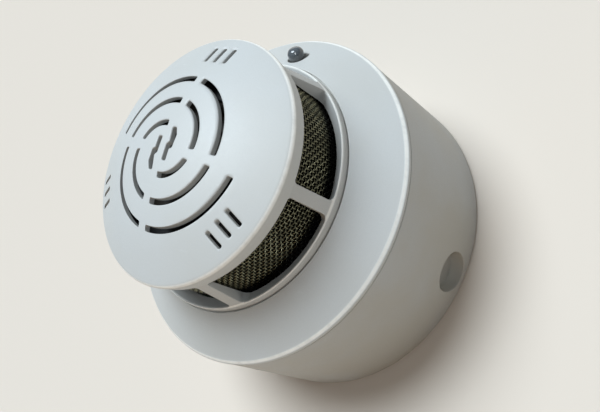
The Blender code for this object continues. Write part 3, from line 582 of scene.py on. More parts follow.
def light_frame():
    """The frame on the shoulder where the status light stands, in millimetres, Z along the normal."""
    tilt = math.atan2(CONE_TOP[1] - CONE_EDGE[1], CONE_EDGE[0] - CONE_TOP[0])
    return (Matrix.Translation((0, LIGHT_CIRCLE, cone_height(LIGHT_CIRCLE)))
            @ Matrix.Rotation(-tilt, 4, "X"))


def build_shoulder(sizes):
    """The sloping shoulder: a turned shell with the status light's pear-shaped hole.

    The hole's levels sink by x^2 / (2 x 76 mm) sideways, as the cone curves away.
    """
    profile = rounded([(CONE_TOP[0], CONE_TOP[1], 0.35), (50.02, 43.69, 0.9), (50.75, 42.7, 0.5),
                       (50.75, 41.9, 0.12), (49.3, 41.9, 0), (49.3, 42.5, 0),
                       (48.0, cone_height(48.0) - CONE_DROP, 0),
                       (38.2, cone_height(38.2) - CONE_DROP, 0),
                       (35.3, 49.3, 0), (35.3, 51.4, 0.2), (CONE_TOP[0], 51.4, 0)],
                      steps=6, closed=True)
    profile = resampled(np.vstack([profile, profile[:1]]), 1.6)[:-1]
    points, faces = turned(profile, sizes.turned_steps)
    piece = new_piece("cone_shoulder", points * MM, faces, "head", "white_plastic",
                      ["shoulder_housing"])
    post = rounded([(0, 46.5, 0), (2.8, 46.5, 0), (2.8, 44.1, 0.2), (0, 44.1, 0)])
    places = [polar(POST_CIRCLE, angle) for angle in POST_ANGLES]
    bake(piece, [turned(post, 32, place) for place in places], "UNION")
    cuts = [upright(ring_outline(SCREW_HOLE, 20) + place, 43.0, 45.9) for place in places]

    large = sizes.light_radius / MM + LIGHT_HOLE_ROOM
    lean = math.degrees(math.acos((large - LIGHT_HOLE_TIP) / LIGHT_HOLE_REACH))
    turn = LIGHT_HOLE_TURN
    hole = []
    for height, growth in edge_levels(LIGHT_HOLE_DEPTH):
        round_light = np.linspace(turn + lean, turn + 360 - lean, 28)
        round_tip = np.linspace(turn - lean, turn + lean, 12)[1:-1]
        outline = np.vstack([polar(np.full(28, large + growth), round_light),
                             polar(np.full(10, LIGHT_HOLE_TIP + growth), round_tip)
                             + polar(LIGHT_HOLE_REACH, turn)])
        sink = outline[:, 0] ** 2 / (2 * CONE_CURVE) if height > -1 else 0 * outline[:, 0]
        hole.append(np.column_stack([outline, height - sink]))
    points, faces = stacked(hole)
    cuts.append((moved_by(points, light_frame()), faces))
    bake(piece, cuts, "DIFFERENCE")
    settle(piece)
    return piece


def build_status_light(sizes):
    """The status light: a domed lens on a flange, turned, with its two leads down to the board."""
    radius = sizes.light_radius / MM
    profile = rounded([(0, 3.2, 0), (1.75, 3.1, 2.2), (radius, 1.75, 1.3), (radius, -2.4, 0),
                       (2.7, -2.4, 0.05), (2.7, -3.1, 0.1), (0, -3.1, 0)], steps=8)
    points, faces = turned(resampled(profile, 0.5), 64)
    parts = [(moved_by(points, light_frame()), faces)]
    foot = light_frame() @ Vector((0, 0, -3.3))
    for x in (-LEAD_SPREAD, LEAD_SPREAD):
        parts.append(upright(ring_outline(LEAD_RADIUS, 12) + (x, foot.y), LEAD_FOOT, foot.z))
    points, faces = joined(parts)
    return new_piece("status_lamp", points * MM, faces, "head", "smoked_lens", ["status_led"])


def dome_height(radius):
    """Height of the cap's face: top - a q^2 - b q^4 with q = r / 50, lifted a little near the rim."""
    share = radius / DOME_SPAN
    lift = np.clip((radius - DOME_LIFT_FROM) / (RIM_CENTRE[0] + 0.8 - DOME_LIFT_FROM), 0, None)
    return DOME_TOP - DOME_DROP_2 * share ** 2 - DOME_DROP_4 * share ** 4 + DOME_LIFT * lift ** 2


def on_dome(flat, height):
    """Flat points of the pattern put at a height above the dome."""
    radius = np.linalg.norm(flat, axis=-1)
    return np.concatenate([flat, (dome_height(radius) + height)[..., None]], -1)


def spiral_radius(turn):
    """Radius of a spiral arm after a turn in degrees: it falls by the pitch in each full turn."""
    return SPIRAL_START - SPIRAL_PITCH * turn / 360


def spiral_cutter(start, end, width):
    """One stretch of a spiral slot: the rails lie at r(t) +/- half its width, at angle a(t).

    r falls by the pitch in each turn and a runs clockwise from the spiral's first angle.
    """
    middle = spiral_radius((start + end) / 2)
    length = math.radians(end - start) * middle
    levels = []
    for height, growth in edge_levels(GRILLE_CUT):
        along, across = rail_shape(length, width / 2, (SPIRAL_END, SPIRAL_END), growth,
                                   max(8, int(length / 0.8)))
        turn = start + along / length * (end - start)
        rails = [on_dome(polar(spiral_radius(turn) + side * half, SPIRAL_FROM - turn), height)
                 for side, half in ((-1, across[0]), (1, across[1]))]
        levels.append(rails)
    return ladder(np.array(levels))


def spiral_spans():
    """The stretches of a spiral arm between its bridges, which lie at every quarter turn."""
    spans, start = [], 0.0
    for quarter in range(1, 5):
        centre = 90 * quarter + SPIRAL_FROM
        half = math.degrees(SPIRAL_BRIDGE / 2 / spiral_radius(centre))
        spans.append((start, centre - half))
        start = centre + half
    return spans + [(start, SPIRAL_TURN)]


def vent_cutter(angle, shift):
    """A straight slot along the radius, shifted sideways, following the dome."""
    levels = []
    length = VENT_SPAN[1] - VENT_SPAN[0]
    for height, growth in edge_levels(VENT_CUT):
        along, across = rail_shape(length, VENT_WIDTH / 2, (VENT_END, VENT_END), growth, 10)
        rails = [on_dome(np.column_stack([VENT_SPAN[0] + along, shift + side * half]), height)
                 for side, half in ((-1, across[0]), (1, across[1]))]
        levels.append(rails)
    points, faces = ladder(np.array(levels))
    return turned_about_z(points, angle), faces


def stroke_cutter(half_turn):
    """One of the two hooked strokes in the middle of the grille."""
    outlines = [on_dome(grown(STROKE, growth, SPIRAL_END), height)
                for height, growth in edge_levels(GRILLE_CUT)]
    points, faces = stacked(outlines)
    return turned_about_z(points, half_turn), faces


def window_cutter(middle, half_angle, corner):
    """A side window: rails along its sill and its lintel, on the sloping skirt.

    Depth d from the skirt gives r = skirt radius at the height, plus d; the sill falls inwards
    by its slope times d, and the lintel stays level.
    """
    length = 2 * half_angle * WINDOW_RADIUS
    half = (LIP[1] - SILL[1]) / 2
    centre = (LIP[1] + SILL[1]) / 2
    levels = []
    for depth, growth in edge_levels(WINDOW_CUT, 1.6, WINDOW_EDGE_STEPS):
        along, across = rail_shape(length, half, (corner, LINTEL_CORNER), growth, 30)
        angle = middle - math.degrees(half_angle) + np.degrees(along / WINDOW_RADIUS)
        rails = []
        for side, reach in ((-1, across[0]), (1, across[1])):
            height = centre + side * reach
            lower = (LIP[1] - height) / (LIP[1] - SILL[1])
            radius = LIP[0] + (SILL[0] - LIP[0]) * lower + depth
            height = height + SILL_FALL * depth * np.clip(lower, 0, 1) ** 3
            rails.append(np.column_stack([polar(radius, angle), height]))
        levels.append(rails)
    return ladder(np.array(levels))


def build_grille_cap(sizes):
    """The grille cap: a turned dome and skirt, cut by the spiral, strokes, vents and windows."""
    face = np.concatenate([np.linspace(0, 33.6, 56)[:-1], [33.6, 34.3]])
    under = np.linspace(33.0, 0, 34)
    outer = np.column_stack([face, dome_height(face)])
    rim = polar(np.full(9, RIM_RADIUS), np.linspace(60, -4, 9)) + RIM_CENTRE
    skirt = rounded([(rim[-1, 0], rim[-1, 1], 0), (LIP[0], LIP[1], 0.5), (SILL[0], SILL[1], 0.6),
                     (37.5, 53.65, 0.4), (37.5, 51.7, 0.15), (35.0, 51.7, 0), (35.0, 49.0, 0.15),
                     (34.0, 49.0, 0.15), (33.9, 51.7, 0), (33.9, 70.8, 1.0),
                     (under[0], dome_height(under[0]) - CAP_WALL, 0)], steps=4)
    inner = np.column_stack([under[1:], dome_height(under[1:]) - CAP_WALL])
    profile = resampled(np.vstack([outer, rim[:-1], skirt, inner]), 1.1)
    points, faces = turned(profile, sizes.turned_steps)
    piece = new_piece("siren_grille", points * MM, faces, "head", "white_plastic", ["grille_cap"])

    width = sizes.slot_width / MM
    cuts = []
    for arm in (0, 180):
        for start, end in spiral_spans():
            slot_points, slot_faces = spiral_cutter(start, end, width)
            cuts.append((turned_about_z(slot_points, arm), slot_faces))
        cuts.append(stroke_cutter(arm))
    for angle in VENT_ANGLES:
        cuts += [vent_cutter(angle, shift) for shift in VENT_SHIFTS]
    cuts = [(np.asarray(shape) + PATTERN_CENTRE, shape_faces) for shape, shape_faces in cuts]
    for middle in WINDOW_MIDDLES:
        cuts.append(window_cutter(middle, sizes.window_half, sizes.window_corner / MM))
    bake(piece, cuts, "DIFFERENCE")

    for angle in HOOK_ANGLES:
        for low, high, radii, half in HOOK_STEPS:
            swing = np.linspace(angle - half, angle + half, 9)
            outline = np.vstack([polar(np.full(9, radii[1]), swing),
                                 polar(np.full(9, radii[0]), swing[::-1])])
            bake(piece, [upright(outline, low, high)], "UNION")
    settle(piece)
    return piece


def woven_wires(count, stations, place, closed):
    """Wires of a weave as one mesh, from a function that gives each wire's points.

    place(wire, station, swing) returns xyz for arrays of wire number, place along it and the
    angle round its oval section.
    """
    sides = WIRE_SIDES
    wire, station, swing = np.meshgrid(np.arange(count), np.arange(stations),
                                       np.linspace(0, 2 * math.pi, sides, endpoint=False),
                                       indexing="ij")
    points = place(wire, station, swing).reshape(-1, 3)
    block = stations * sides
    one = np.array(grid_faces(stations, sides, closed, True))
    faces = (one[None] + (np.arange(count) * block)[:, None, None]).reshape(-1, 4).tolist()
    if not closed:
        for index in range(count):
            start = index * block
            faces.append(list(range(start, start + sides))[::-1])
            faces.append(list(range(start + block - sides, start + block)))
    return points, faces


def build_insect_guard(sizes):
    """The woven insect guard: uprights and hoops that pass over and under each other.

    An upright at angle a_j lies at r = R + s cos(pi (k + j)) where it meets hoop k, and a hoop
    at r = R - s cos(pi (k + j)), with a cosine between crossings; each section is an oval.
    """
    spacing = (GUARD_TOP - GUARD_LOW - 2 * GUARD_MARGIN) / (sizes.hoop_count - 1)
    across = sizes.wire_width / MM / 2
    low = GUARD_LOW + GUARD_MARGIN

    def upright_place(wire, station, swing):
        cell = station / STATIONS_PER_CELL - 0.5
        z = low + cell * spacing
        angle = 2 * math.pi * wire / sizes.wire_count
        radius = (GUARD_RADIUS + WIRE_SWING * np.cos(math.pi * (cell + wire))
                  + WIRE_THICKNESS * np.cos(swing))
        angle = angle - across * np.sin(swing) / GUARD_RADIUS
        return np.stack([radius * np.cos(angle), radius * np.sin(angle), z], -1)

    def hoop_place(wire, station, swing):
        cell = station / STATIONS_PER_CELL
        angle = 2 * math.pi * cell / sizes.wire_count
        radius = (GUARD_RADIUS - WIRE_SWING * np.cos(math.pi * (cell + wire))
                  + WIRE_THICKNESS * np.cos(swing))
        z = low + wire * spacing + across * np.sin(swing)
        return np.stack([radius * np.cos(angle), radius * np.sin(angle), z], -1)

    for name, count, stations, place, closed in (
            ("guard_uprights", sizes.wire_count, sizes.hoop_count * STATIONS_PER_CELL + 1,
             upright_place, False),
            ("guard_hoops", sizes.hoop_count, sizes.wire_count * STATIONS_PER_CELL,
             hoop_place, True)):
        points, faces = woven_wires(count, stations, place, closed)
        new_piece(name, points * MM, faces, "head", "mesh_wire", ["insect_mesh"], sharp=80)


def build_grommet():
    """The rubber cable grommet: a flange, a grooved neck and thin folds round its bore."""
    profile = rounded([(4.0, 4.2, 0.2), (4.6, 4.6, 0.2), (5.4, 4.35, 0.2), (6.2, 4.6, 0.2),
                       (7.0, 4.35, 0.2), (8.6, 4.6, 0.4), (9.8, 3.9, 0.3), (9.8, 2.7, 0.1),
                       (8.0, 2.7, 0), (8.0, 0.5, 0.2), (7.2, 0.3, 0.2), (6.5, 0.6, 0.2),
                       (5.8, 0.3, 0.2), (5.0, 0.4, 0.2), (4.0, 1.5, 0.3)], closed=True, steps=4)
    points, faces = turned(profile, 96)
    return new_piece("entry_grommet", points * MM, faces, "base", "grommet_rubber",
                     ["cable_grommet"])


# ------------------------------------------------------------------ finishes

class Wiring:
    """Adds nodes to a tree and joins them as they are added."""

    def __init__(self, tree):
        self.tree = tree

    def add(self, kind, inputs=None, **settings):
        """A node with its settings, and its inputs set from values or joined from sockets."""
        node = self.tree.nodes.new(kind)
        node.location = (180 * (len(self.tree.nodes) % 12), -220 * (len(self.tree.nodes) // 12))
        for key, value in settings.items():
            setattr(node, key, value)
        for key, value in (inputs or {}).items():
            socket = node.inputs[key]
            if isinstance(value, bpy.types.NodeSocket):
                self.tree.links.new(value, socket)
            else:
                socket.default_value = value
        return node

    def math(self, operation, a, b=0.0, clamp=False):
        """One sum on two values."""
        return self.add("ShaderNodeMath", {0: a, 1: b}, operation=operation,
                        use_clamp=clamp).outputs[0]

    def noise(self, vector, scale, detail=3.0, roughness=0.55):
        """Cloudy noise between 0 and 1."""
        return self.add("ShaderNodeTexNoise", {"Vector": vector, "Scale": scale, "Detail": detail,
                                               "Roughness": roughness}).outputs["Fac"]

    def ranged(self, value, low, high, to_low=0.0, to_high=1.0):
        """A value carried smoothly from the range low..high to the range to_low..to_high."""
        return self.add("ShaderNodeMapRange", {"Value": value, "From Min": low, "From Max": high,
                                               "To Min": to_low, "To Max": to_high},
                        interpolation_type="SMOOTHSTEP").outputs["Result"]

    def blend(self, share, a, b):
        """Colour a turning into colour b as share goes from 0 to 1."""
        node = self.add("ShaderNodeMix", {0: share}, data_type="RGBA")
        for socket, value in ((node.inputs[6], a), (node.inputs[7], b)):
            if isinstance(value, bpy.types.NodeSocket):
                self.tree.links.new(value, socket)
            else:
                socket.default_value = (*value, 1.0)
        return node.outputs[2]

    def stretched(self, vector, scale, location=(0, 0, 0), rotation=(0, 0, 0)):
        """Coordinates moved, turned and stretched."""
        return self.add("ShaderNodeMapping", {"Vector": vector, "Location": location,
                                              "Rotation": rotation, "Scale": scale}
                        ).outputs["Vector"]


def effect_group(name, inputs, outputs):
    """An empty node group with named inputs (name, kind, default) and outputs (name, kind)."""
    tree = bpy.data.node_groups.new(name, "ShaderNodeTree")
    for label, kind, default in inputs:
        socket = tree.interface.new_socket(name=label, in_out="INPUT", socket_type=kind)
        if default is not None:
            socket.default_value = default
    for label, kind in outputs:
        tree.interface.new_socket(name=label, in_out="OUTPUT", socket_type=kind)
    wiring = Wiring(tree)
    return wiring, wiring.add("NodeGroupInput").outputs, wiring.add("NodeGroupOutput").inputs


NUMBER, VECTOR = "NodeSocketFloat", "NodeSocketVector"


def make_moulded_grain():
    """Patches of tone, fine grain and a fine height, as a mould leaves them."""
    w, given, out = effect_group(
        "moulded grain", [("Vector", VECTOR, None), ("Grains per metre", NUMBER, 2200.0)],
        [("Mottling", NUMBER), ("Grain", NUMBER), ("Height", NUMBER)])
    broad = w.noise(given["Vector"], 34.0, 4.0)
    w.tree.links.new(w.ranged(broad, 0.3, 0.7), out["Mottling"])
    fine = w.noise(given["Vector"], given["Grains per metre"], 2.0, 0.7)
    cells = w.add("ShaderNodeTexVoronoi", {"Vector": given["Vector"],
                                           "Scale": given["Grains per metre"]},
                  feature="SMOOTH_F1").outputs["Distance"]
    w.tree.links.new(w.ranged(fine, 0.25, 0.75), out["Grain"])
    w.tree.links.new(w.math("ADD", fine, w.math("MULTIPLY", cells, 0.6)), out["Height"])


def make_handling_scratches():
    """Two crossing sets of hairline scratches, only in some patches."""
    w, given, out = effect_group(
        "handling scratches", [("Vector", VECTOR, None), ("Amount", NUMBER, 0.5)],
        [("Mask", NUMBER)])
    layers = []
    for turn, along, across in ((0.5, 22.0, 950.0), (2.1, 30.0, 800.0)):
        run = w.stretched(given["Vector"], (along, across, across * 0.6),
                          rotation=(turn * 0.6, 0.3, turn))
        layers.append(w.ranged(w.noise(run, 1.0, 1.0), 0.70, 0.78))
    patches = w.ranged(w.noise(given["Vector"], 60.0), 0.45, 0.65)
    both = w.math("MAXIMUM", layers[0], layers[1])
    w.tree.links.new(w.math("MULTIPLY", w.math("MULTIPLY", both, patches), given["Amount"]),
                     out["Mask"])


def make_settled_dust():
    """Dust in corners and hollows, most on faces that look up."""
    w, given, out = effect_group(
        "settled dust", [("Vector", VECTOR, None), ("Amount", NUMBER, 0.3),
                         ("Reach", NUMBER, 2.5 * MM)], [("Mask", NUMBER)])
    hollow = w.add("ShaderNodeAmbientOcclusion", {"Distance": given["Reach"]}, samples=6,
                   only_local=False).outputs["AO"]
    corner = w.ranged(hollow, 0.95, 0.35)
    up = w.add("ShaderNodeSeparateXYZ", {0: w.add("ShaderNodeNewGeometry").outputs["Normal"]})
    upward = w.ranged(up.outputs["Z"], -0.4, 0.9, 0.45, 1.0)
    speckle = w.ranged(w.noise(given["Vector"], 900.0, 5.0, 0.75), 0.25, 0.7, 0.55, 1.0)
    mask = w.math("MULTIPLY", w.math("MULTIPLY", corner, upward), speckle)
    w.tree.links.new(w.math("MULTIPLY", mask, given["Amount"], clamp=True), out["Mask"])


def make_worn_edges():
    """Edges rubbed bare in broken stretches."""
    w, given, out = effect_group(
        "worn edges", [("Vector", VECTOR, None), ("Amount", NUMBER, 0.4)], [("Mask", NUMBER)])
    sharpness = w.add("ShaderNodeNewGeometry").outputs["Pointiness"]
    edge = w.ranged(sharpness, 0.53, 0.60)
    broken = w.ranged(w.noise(given["Vector"], 420.0, 4.0, 0.7), 0.35, 0.62)
    w.tree.links.new(w.math("MULTIPLY", w.math("MULTIPLY", edge, broken), given["Amount"]),
                     out["Mask"])


def make_rim_highlight():
    """A painted highlight: a broken line round a turned edge, by how near (r, z) is to the edge's own.
    """
    w, given, out = effect_group(
        "painted rim highlight", [("Vector", VECTOR, None), ("Radius", NUMBER, 0.05),
                          ("Height", NUMBER, 0.04), ("Width", NUMBER, 0.0006)],
        [("Mask", NUMBER)])
    split = w.add("ShaderNodeSeparateXYZ", {0: given["Vector"]}).outputs
    radius = w.math("SQRT", w.math("ADD", w.math("POWER", split["X"], 2.0),
                                   w.math("POWER", split["Y"], 2.0)))
    away = w.math("ADD", w.math("POWER", w.math("SUBTRACT", radius, given["Radius"]), 2.0),
                  w.math("POWER", w.math("SUBTRACT", split["Z"], given["Height"]), 2.0))
    near = w.math("DIVIDE", w.math("SQRT", away), given["Width"])
    broken = w.ranged(w.noise(given["Vector"], 300.0, 4.0, 0.7), 0.2, 0.6, 0.6, 1.0)
    w.tree.links.new(w.math("MULTIPLY", w.ranged(near, 1.0, 0.25), broken), out["Mask"])


def make_metal_streaks():
    """Drawn streaks and clouds of tarnish."""
    w, given, out = effect_group(
        "metal streaks", [("Vector", VECTOR, None), ("Amount", NUMBER, 0.5)],
        [("Mask", NUMBER), ("Height", NUMBER)])
    run = w.stretched(given["Vector"], (260.0, 5200.0, 5200.0), rotation=(0.2, 0.1, 0.7))
    streak = w.noise(run, 1.0, 3.0, 0.6)
    tarnish = w.ranged(w.noise(given["Vector"], 240.0, 5.0, 0.65), 0.35, 0.75)
    w.tree.links.new(w.math("MULTIPLY", tarnish, given["Amount"]), out["Mask"])
    w.tree.links.new(streak, out["Height"])


def make_board_tracks():
    """Square-cornered bands of copper, with round pads."""
    w, given, out = effect_group(
        "board tracks", [("Vector", VECTOR, None), ("Tracks per metre", NUMBER, 210.0)],
        [("Copper", NUMBER), ("Pads", NUMBER)])
    cells = w.add("ShaderNodeTexVoronoi", {"Vector": given["Vector"],
                                           "Scale": given["Tracks per metre"],
                                           "Randomness": 0.75},
                  feature="F1", distance="CHEBYCHEV")
    bands = w.math("FRACT", w.math("MULTIPLY", cells.outputs["Distance"], 4.0))
    w.tree.links.new(w.ranged(bands, 0.42, 0.5), out["Copper"])
    dots = w.add("ShaderNodeTexVoronoi", {"Vector": given["Vector"],
                                          "Scale": given["Tracks per metre"],
                                          "Randomness": 0.75}, feature="F1")
    w.tree.links.new(w.ranged(dots.outputs["Distance"], 0.16, 0.13), out["Pads"])


def make_effects():
    """The effects that finishes share, each one a node group."""
    for make in (make_moulded_grain, make_handling_scratches, make_settled_dust,
                 make_worn_edges, make_rim_highlight, make_metal_streaks, make_board_tracks):
        make()


def effect(w, name, coordinates, **values):
    """One of the shared effects, placed in a finish with its own values."""
    node = w.add("ShaderNodeGroup")
    node.node_tree = bpy.data.node_groups[name]
    w.tree.links.new(coordinates, node.inputs["Vector"])
    for key, value in values.items():
        node.inputs[key.replace("_", " ")].default_value = value
    return node.outputs


def finish(name, colour, second, roughness, grain=2200.0, bump=0.25, dust=0.25,
           dust_colour=(0.36, 0.33, 0.28), scratches=0.4, wear_and_highlight=None, rim_highlights=(), detail=None,
           **shader_values):
    """A moulded or coated surface: mottled colour, grain, scratches, dust in corners, worn edges, and
    painted highlights along given turned edges.

    detail(w, coordinates, colour, shader) may add more and gives back the colour; each takes all
    four, though few need the shader. shader_values set the shader's own sockets.
    """
    material = bpy.data.materials.new(name)
    material.use_nodes = True
    material.diffuse_color = (*colour, 1.0)
    w = Wiring(material.node_tree)
    shader = material.node_tree.nodes["Principled BSDF"]
    for key, value in shader_values.items():
        shader.inputs[key.replace("_", " ")].default_value = value
    place = w.add("ShaderNodeTexCoord").outputs["Object"]
    moulded = effect(w, "moulded grain", place, Grains_per_metre=grain)
    shade = w.blend(moulded["Mottling"], colour, second)
    darker = tuple(c * 0.9 for c in colour)
    shade = w.blend(w.math("MULTIPLY", moulded["Grain"], 0.35), shade, darker)
    if detail:
        shade = detail(w, place, shade, shader)
    marks = effect(w, "handling scratches", place, Amount=scratches)["Mask"]
    pale = tuple(min(1.0, c * 1.25 + 0.03) for c in colour)
    shade = w.blend(w.math("MULTIPLY", marks, 0.5), shade, pale)
    if wear_and_highlight and not rim_highlights:
        shade = w.blend(effect(w, "worn edges", place, Amount=0.55)["Mask"], shade, wear_and_highlight)
    # Painted highlights: pale lines along the given turned edges, in the pale edge colour
    for radius, height, width in rim_highlights:
        rim = effect(w, "painted rim highlight", place, Radius=radius * MM, Height=height * MM,
                     Width=width * MM)["Mask"]
        shade = w.blend(rim, shade, wear_and_highlight)
    dusty = effect(w, "settled dust", place, Amount=dust)["Mask"]
    shade = w.blend(dusty, shade, dust_colour)
    gloss = w.ranged(moulded["Grain"], 0.0, 1.0, roughness[0], roughness[1])
    gloss = w.math("ADD", gloss, w.math("MULTIPLY", dusty, 0.3))
    gloss = w.math("SUBTRACT", gloss, w.math("MULTIPLY", marks, 0.1), clamp=True)
    relief = w.math("SUBTRACT", moulded["Height"], w.math("MULTIPLY", marks, 0.8))
    normal = w.add("ShaderNodeBump", {"Strength": bump, "Distance": 0.03 * MM, "Height": relief})
    w.tree.links.new(shade, shader.inputs["Base Color"])
    w.tree.links.new(gloss, shader.inputs["Roughness"])
    w.tree.links.new(normal.outputs["Normal"], shader.inputs["Normal"])
    return material


def metal(name, colour, tarnish, roughness, bump=0.3, dust=0.2, streaks=0.6, sooty_and_shaded=None):
    """Bare or plated metal: drawn streaks, tarnish in patches and dust in its corners.

    The last argument, when given, holds two heights in millimetres between which the metal turns black
    downwards: painted shade at the foot of the guard, with some dark dirt.
    """
    material = bpy.data.materials.new(name)
    material.use_nodes = True
    material.diffuse_color = (*colour, 1.0)
    w = Wiring(material.node_tree)
    shader = material.node_tree.nodes["Principled BSDF"]
    place = w.add("ShaderNodeTexCoord").outputs["Object"]
    drawn = effect(w, "metal streaks", place, Amount=streaks)
    shade = w.blend(drawn["Mask"], colour, tarnish)
    dusty = effect(w, "settled dust", place, Amount=dust)["Mask"]
    shade = w.blend(dusty, shade, DUST)
    # Painted shade with some dark dirt: black towards the bottom, where the window sill shades the
    # guard
    if sooty_and_shaded:
        height = w.add("ShaderNodeSeparateXYZ", {0: place}).outputs["Z"]
        soot_and_shade = w.ranged(height, sooty_and_shaded[1] * MM, sooty_and_shaded[0] * MM)
        shade = w.blend(soot_and_shade, shade, SOOT_AND_SHADE)
    gloss = w.ranged(drawn["Mask"], 0.0, 0.6, roughness[0], roughness[1])
    gloss = w.math("ADD", gloss, w.math("MULTIPLY", dusty, 0.35), clamp=True)
    bare = w.math("SUBTRACT", 1.0, dusty, clamp=True)
    normal = w.add("ShaderNodeBump", {"Strength": bump, "Distance": 0.02 * MM,
                                      "Height": drawn["Height"]})
    w.tree.links.new(shade, shader.inputs["Base Color"])
    w.tree.links.new(gloss, shader.inputs["Roughness"])
    w.tree.links.new(bare, shader.inputs["Metallic"])
    w.tree.links.new(normal.outputs["Normal"], shader.inputs["Normal"])
    return material


def tracked(w, place, shade, shader):
    """Copper tracks that show as paler green through the lacquer, with tinned pads."""
    tracks = effect(w, "board tracks", place)
    shade = w.blend(w.math("MULTIPLY", tracks["Copper"], 0.65), shade, (0.05, 0.26, 0.10))
    w.tree.links.new(tracks["Pads"], shader.inputs["Metallic"])
    return w.blend(tracks["Pads"], shade, (0.62, 0.60, 0.55))


def sleeved(w, place, shade, shader):
    """A pale polarity stripe down the capacitor's sleeve, and its bare top."""
    low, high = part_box("smoothing_capacitor")
    middle = (low + high) / 2
    centred = w.stretched(place, (1, 1, 1), location=(-middle.x, -middle.y, -high.z))
    round_it = w.add("ShaderNodeTexGradient", {"Vector": centred}, gradient_type="RADIAL")
    stripe = w.math("COMPARE", round_it.outputs["Fac"], 0.62)
    stripe.node.inputs[2].default_value = 0.05
    shade = w.blend(stripe, shade, (0.55, 0.56, 0.58))
    height = w.add("ShaderNodeSeparateXYZ", {0: centred}).outputs["Z"]
    top = w.ranged(height, -0.55 * MM, -0.45 * MM)
    w.tree.links.new(top, shader.inputs["Metallic"])
    return w.blend(top, shade, (0.70, 0.70, 0.70))


def banded(w, place, shade, shader):
    """The faint lines that drawing leaves along a wire's insulation."""
    run = w.stretched(place, (1800.0, 1800.0, 90.0))
    return w.blend(w.math("MULTIPLY", w.noise(run, 1.0, 2.0), 0.3), shade, (0.02, 0.02, 0.02))


def speckled_sounder_shade(w, place, shade, shader):
    """Painted shade: the sounder's disc is near black for the dark behind the slots, with brass
    showing in spots.
    """
    thin = w.ranged(w.noise(place, 700.0, 5.0, 0.7), 0.62, 0.78)
    return w.blend(w.math("MULTIPLY", thin, 0.35), shade, (0.20, 0.14, 0.06))


def lens_foot_shade(w, place, shade, shader):
    """Painted shade: the smoked lens turns darker towards its foot, where the cup swallows the light.
    """
    height = w.add("ShaderNodeSeparateXYZ", {0: place}).outputs["Z"]
    rise = w.ranged(height, (cone_height(LIGHT_CIRCLE) - 1) * MM,
                    (cone_height(LIGHT_CIRCLE) + 3.2) * MM)
    return w.blend(rise, LENS_FOOT_SHADE, shade)


def make_finishes(colours):
    """Every finish by the name of its material slot."""
    shell, shade = tuple(colours.shell), tuple(colours.shell_shade)
    guard = tuple(colours.guard)
    lens = tuple(colours.lens)
    made = {
        # The shell's pale rim lines are painted highlights on the shoulder edge, the cap rim and the
        # window sills
        "white_plastic": finish("shell plastic", shell, shade, (0.44, 0.58), grain=2600.0,
                                bump=0.22, dust=0.35, dust_colour=(0.46, 0.42, 0.35),
                                scratches=0.25, wear_and_highlight=(0.95, 0.94, 0.90), rim_highlights=SHELL_RIM_HIGHLIGHTS,
                                Specular_IOR_Level=0.5),
        "light_grey_plastic": finish("socket plastic", (0.66, 0.66, 0.62), (0.58, 0.57, 0.53),
                                     (0.42, 0.56), bump=0.3, wear_and_highlight=(0.78, 0.78, 0.74)),
        "black_plastic": finish("black moulding", (0.014, 0.014, 0.016), (0.022, 0.021, 0.020),
                                (0.42, 0.60), grain=1700.0, bump=0.4, dust=0.45,
                                dust_colour=(0.10, 0.09, 0.075), wear_and_highlight=(0.06, 0.06, 0.06)),
        "board_lacquer": finish("board lacquer", (0.014, 0.125, 0.045), (0.02, 0.16, 0.06),
                                (0.20, 0.34), bump=0.15, detail=tracked, Coat_Weight=0.35,
                                Coat_Roughness=0.15),
        "green_plastic": finish("terminal plastic", (0.04, 0.27, 0.12), (0.05, 0.33, 0.16),
                                (0.36, 0.5), bump=0.3, wear_and_highlight=(0.12, 0.40, 0.22)),
        "capacitor_sleeve": finish("capacitor sleeve", (0.035, 0.045, 0.11), (0.05, 0.06, 0.14),
                                   (0.25, 0.38), bump=0.12, detail=sleeved),
        "zinc_steel": metal("zinc plated steel", (0.60, 0.60, 0.57), (0.42, 0.39, 0.33),
                            (0.26, 0.48)),
        "contact_brass": metal("contact brass", (0.74, 0.56, 0.25), (0.42, 0.27, 0.11),
                               (0.22, 0.46)),
        # The guard turns black below 57 mm: painted shade with some dark dirt at the foot of the
        # windows
        "mesh_wire": metal("oxidised guard wire", guard, tuple(c * 0.35 for c in guard),
                           (0.16, 0.34), dust=0.05, streaks=0.8, sooty_and_shaded=(53.6, 57.0)),
        "smoked_lens": finish("smoked lens", lens, tuple(c * 1.5 for c in lens), (0.07, 0.14),
                              bump=0.05, dust=0.2, scratches=0.15, detail=lens_foot_shade,
                              Coat_Weight=0.6, Coat_Roughness=0.06),
        "infrared_lens": finish("infrared lens", (0.22, 0.26, 0.40), (0.16, 0.19, 0.33),
                                (0.06, 0.14), bump=0.05, scratches=0.15, Coat_Weight=0.5,
                                Coat_Roughness=0.06),
        "grommet_rubber": finish("grommet rubber", (0.022, 0.022, 0.021), (0.035, 0.034, 0.031),
                                 (0.62, 0.82), grain=1300.0, bump=0.5, dust=0.6,
                                 dust_colour=(0.14, 0.13, 0.11)),
        "dip_red": finish("switch red", (0.46, 0.022, 0.016), (0.54, 0.035, 0.022), (0.34, 0.48),
                          wear_and_highlight=(0.62, 0.12, 0.09)),
        "trimmer_blue": finish("trimmer blue", (0.022, 0.10, 0.36), (0.03, 0.13, 0.44),
                               (0.30, 0.44), wear_and_highlight=(0.12, 0.22, 0.50)),
        "knob_white": finish("knob plastic", (0.78, 0.78, 0.74), (0.70, 0.69, 0.63), (0.34, 0.48)),
    }
    for slot, colour in (("wire_red", (0.50, 0.022, 0.016)), ("wire_black", (0.016, 0.016, 0.017)),
                         ("wire_blue", (0.016, 0.07, 0.40)), ("wire_yellow", (0.60, 0.42, 0.03))):
        second = tuple(c * 1.15 for c in colour)
        made[slot] = finish(slot.replace("_", " ") + " insulation", colour, second, (0.30, 0.42),
                            bump=0.12, dust=0.35, detail=banded)
    return made


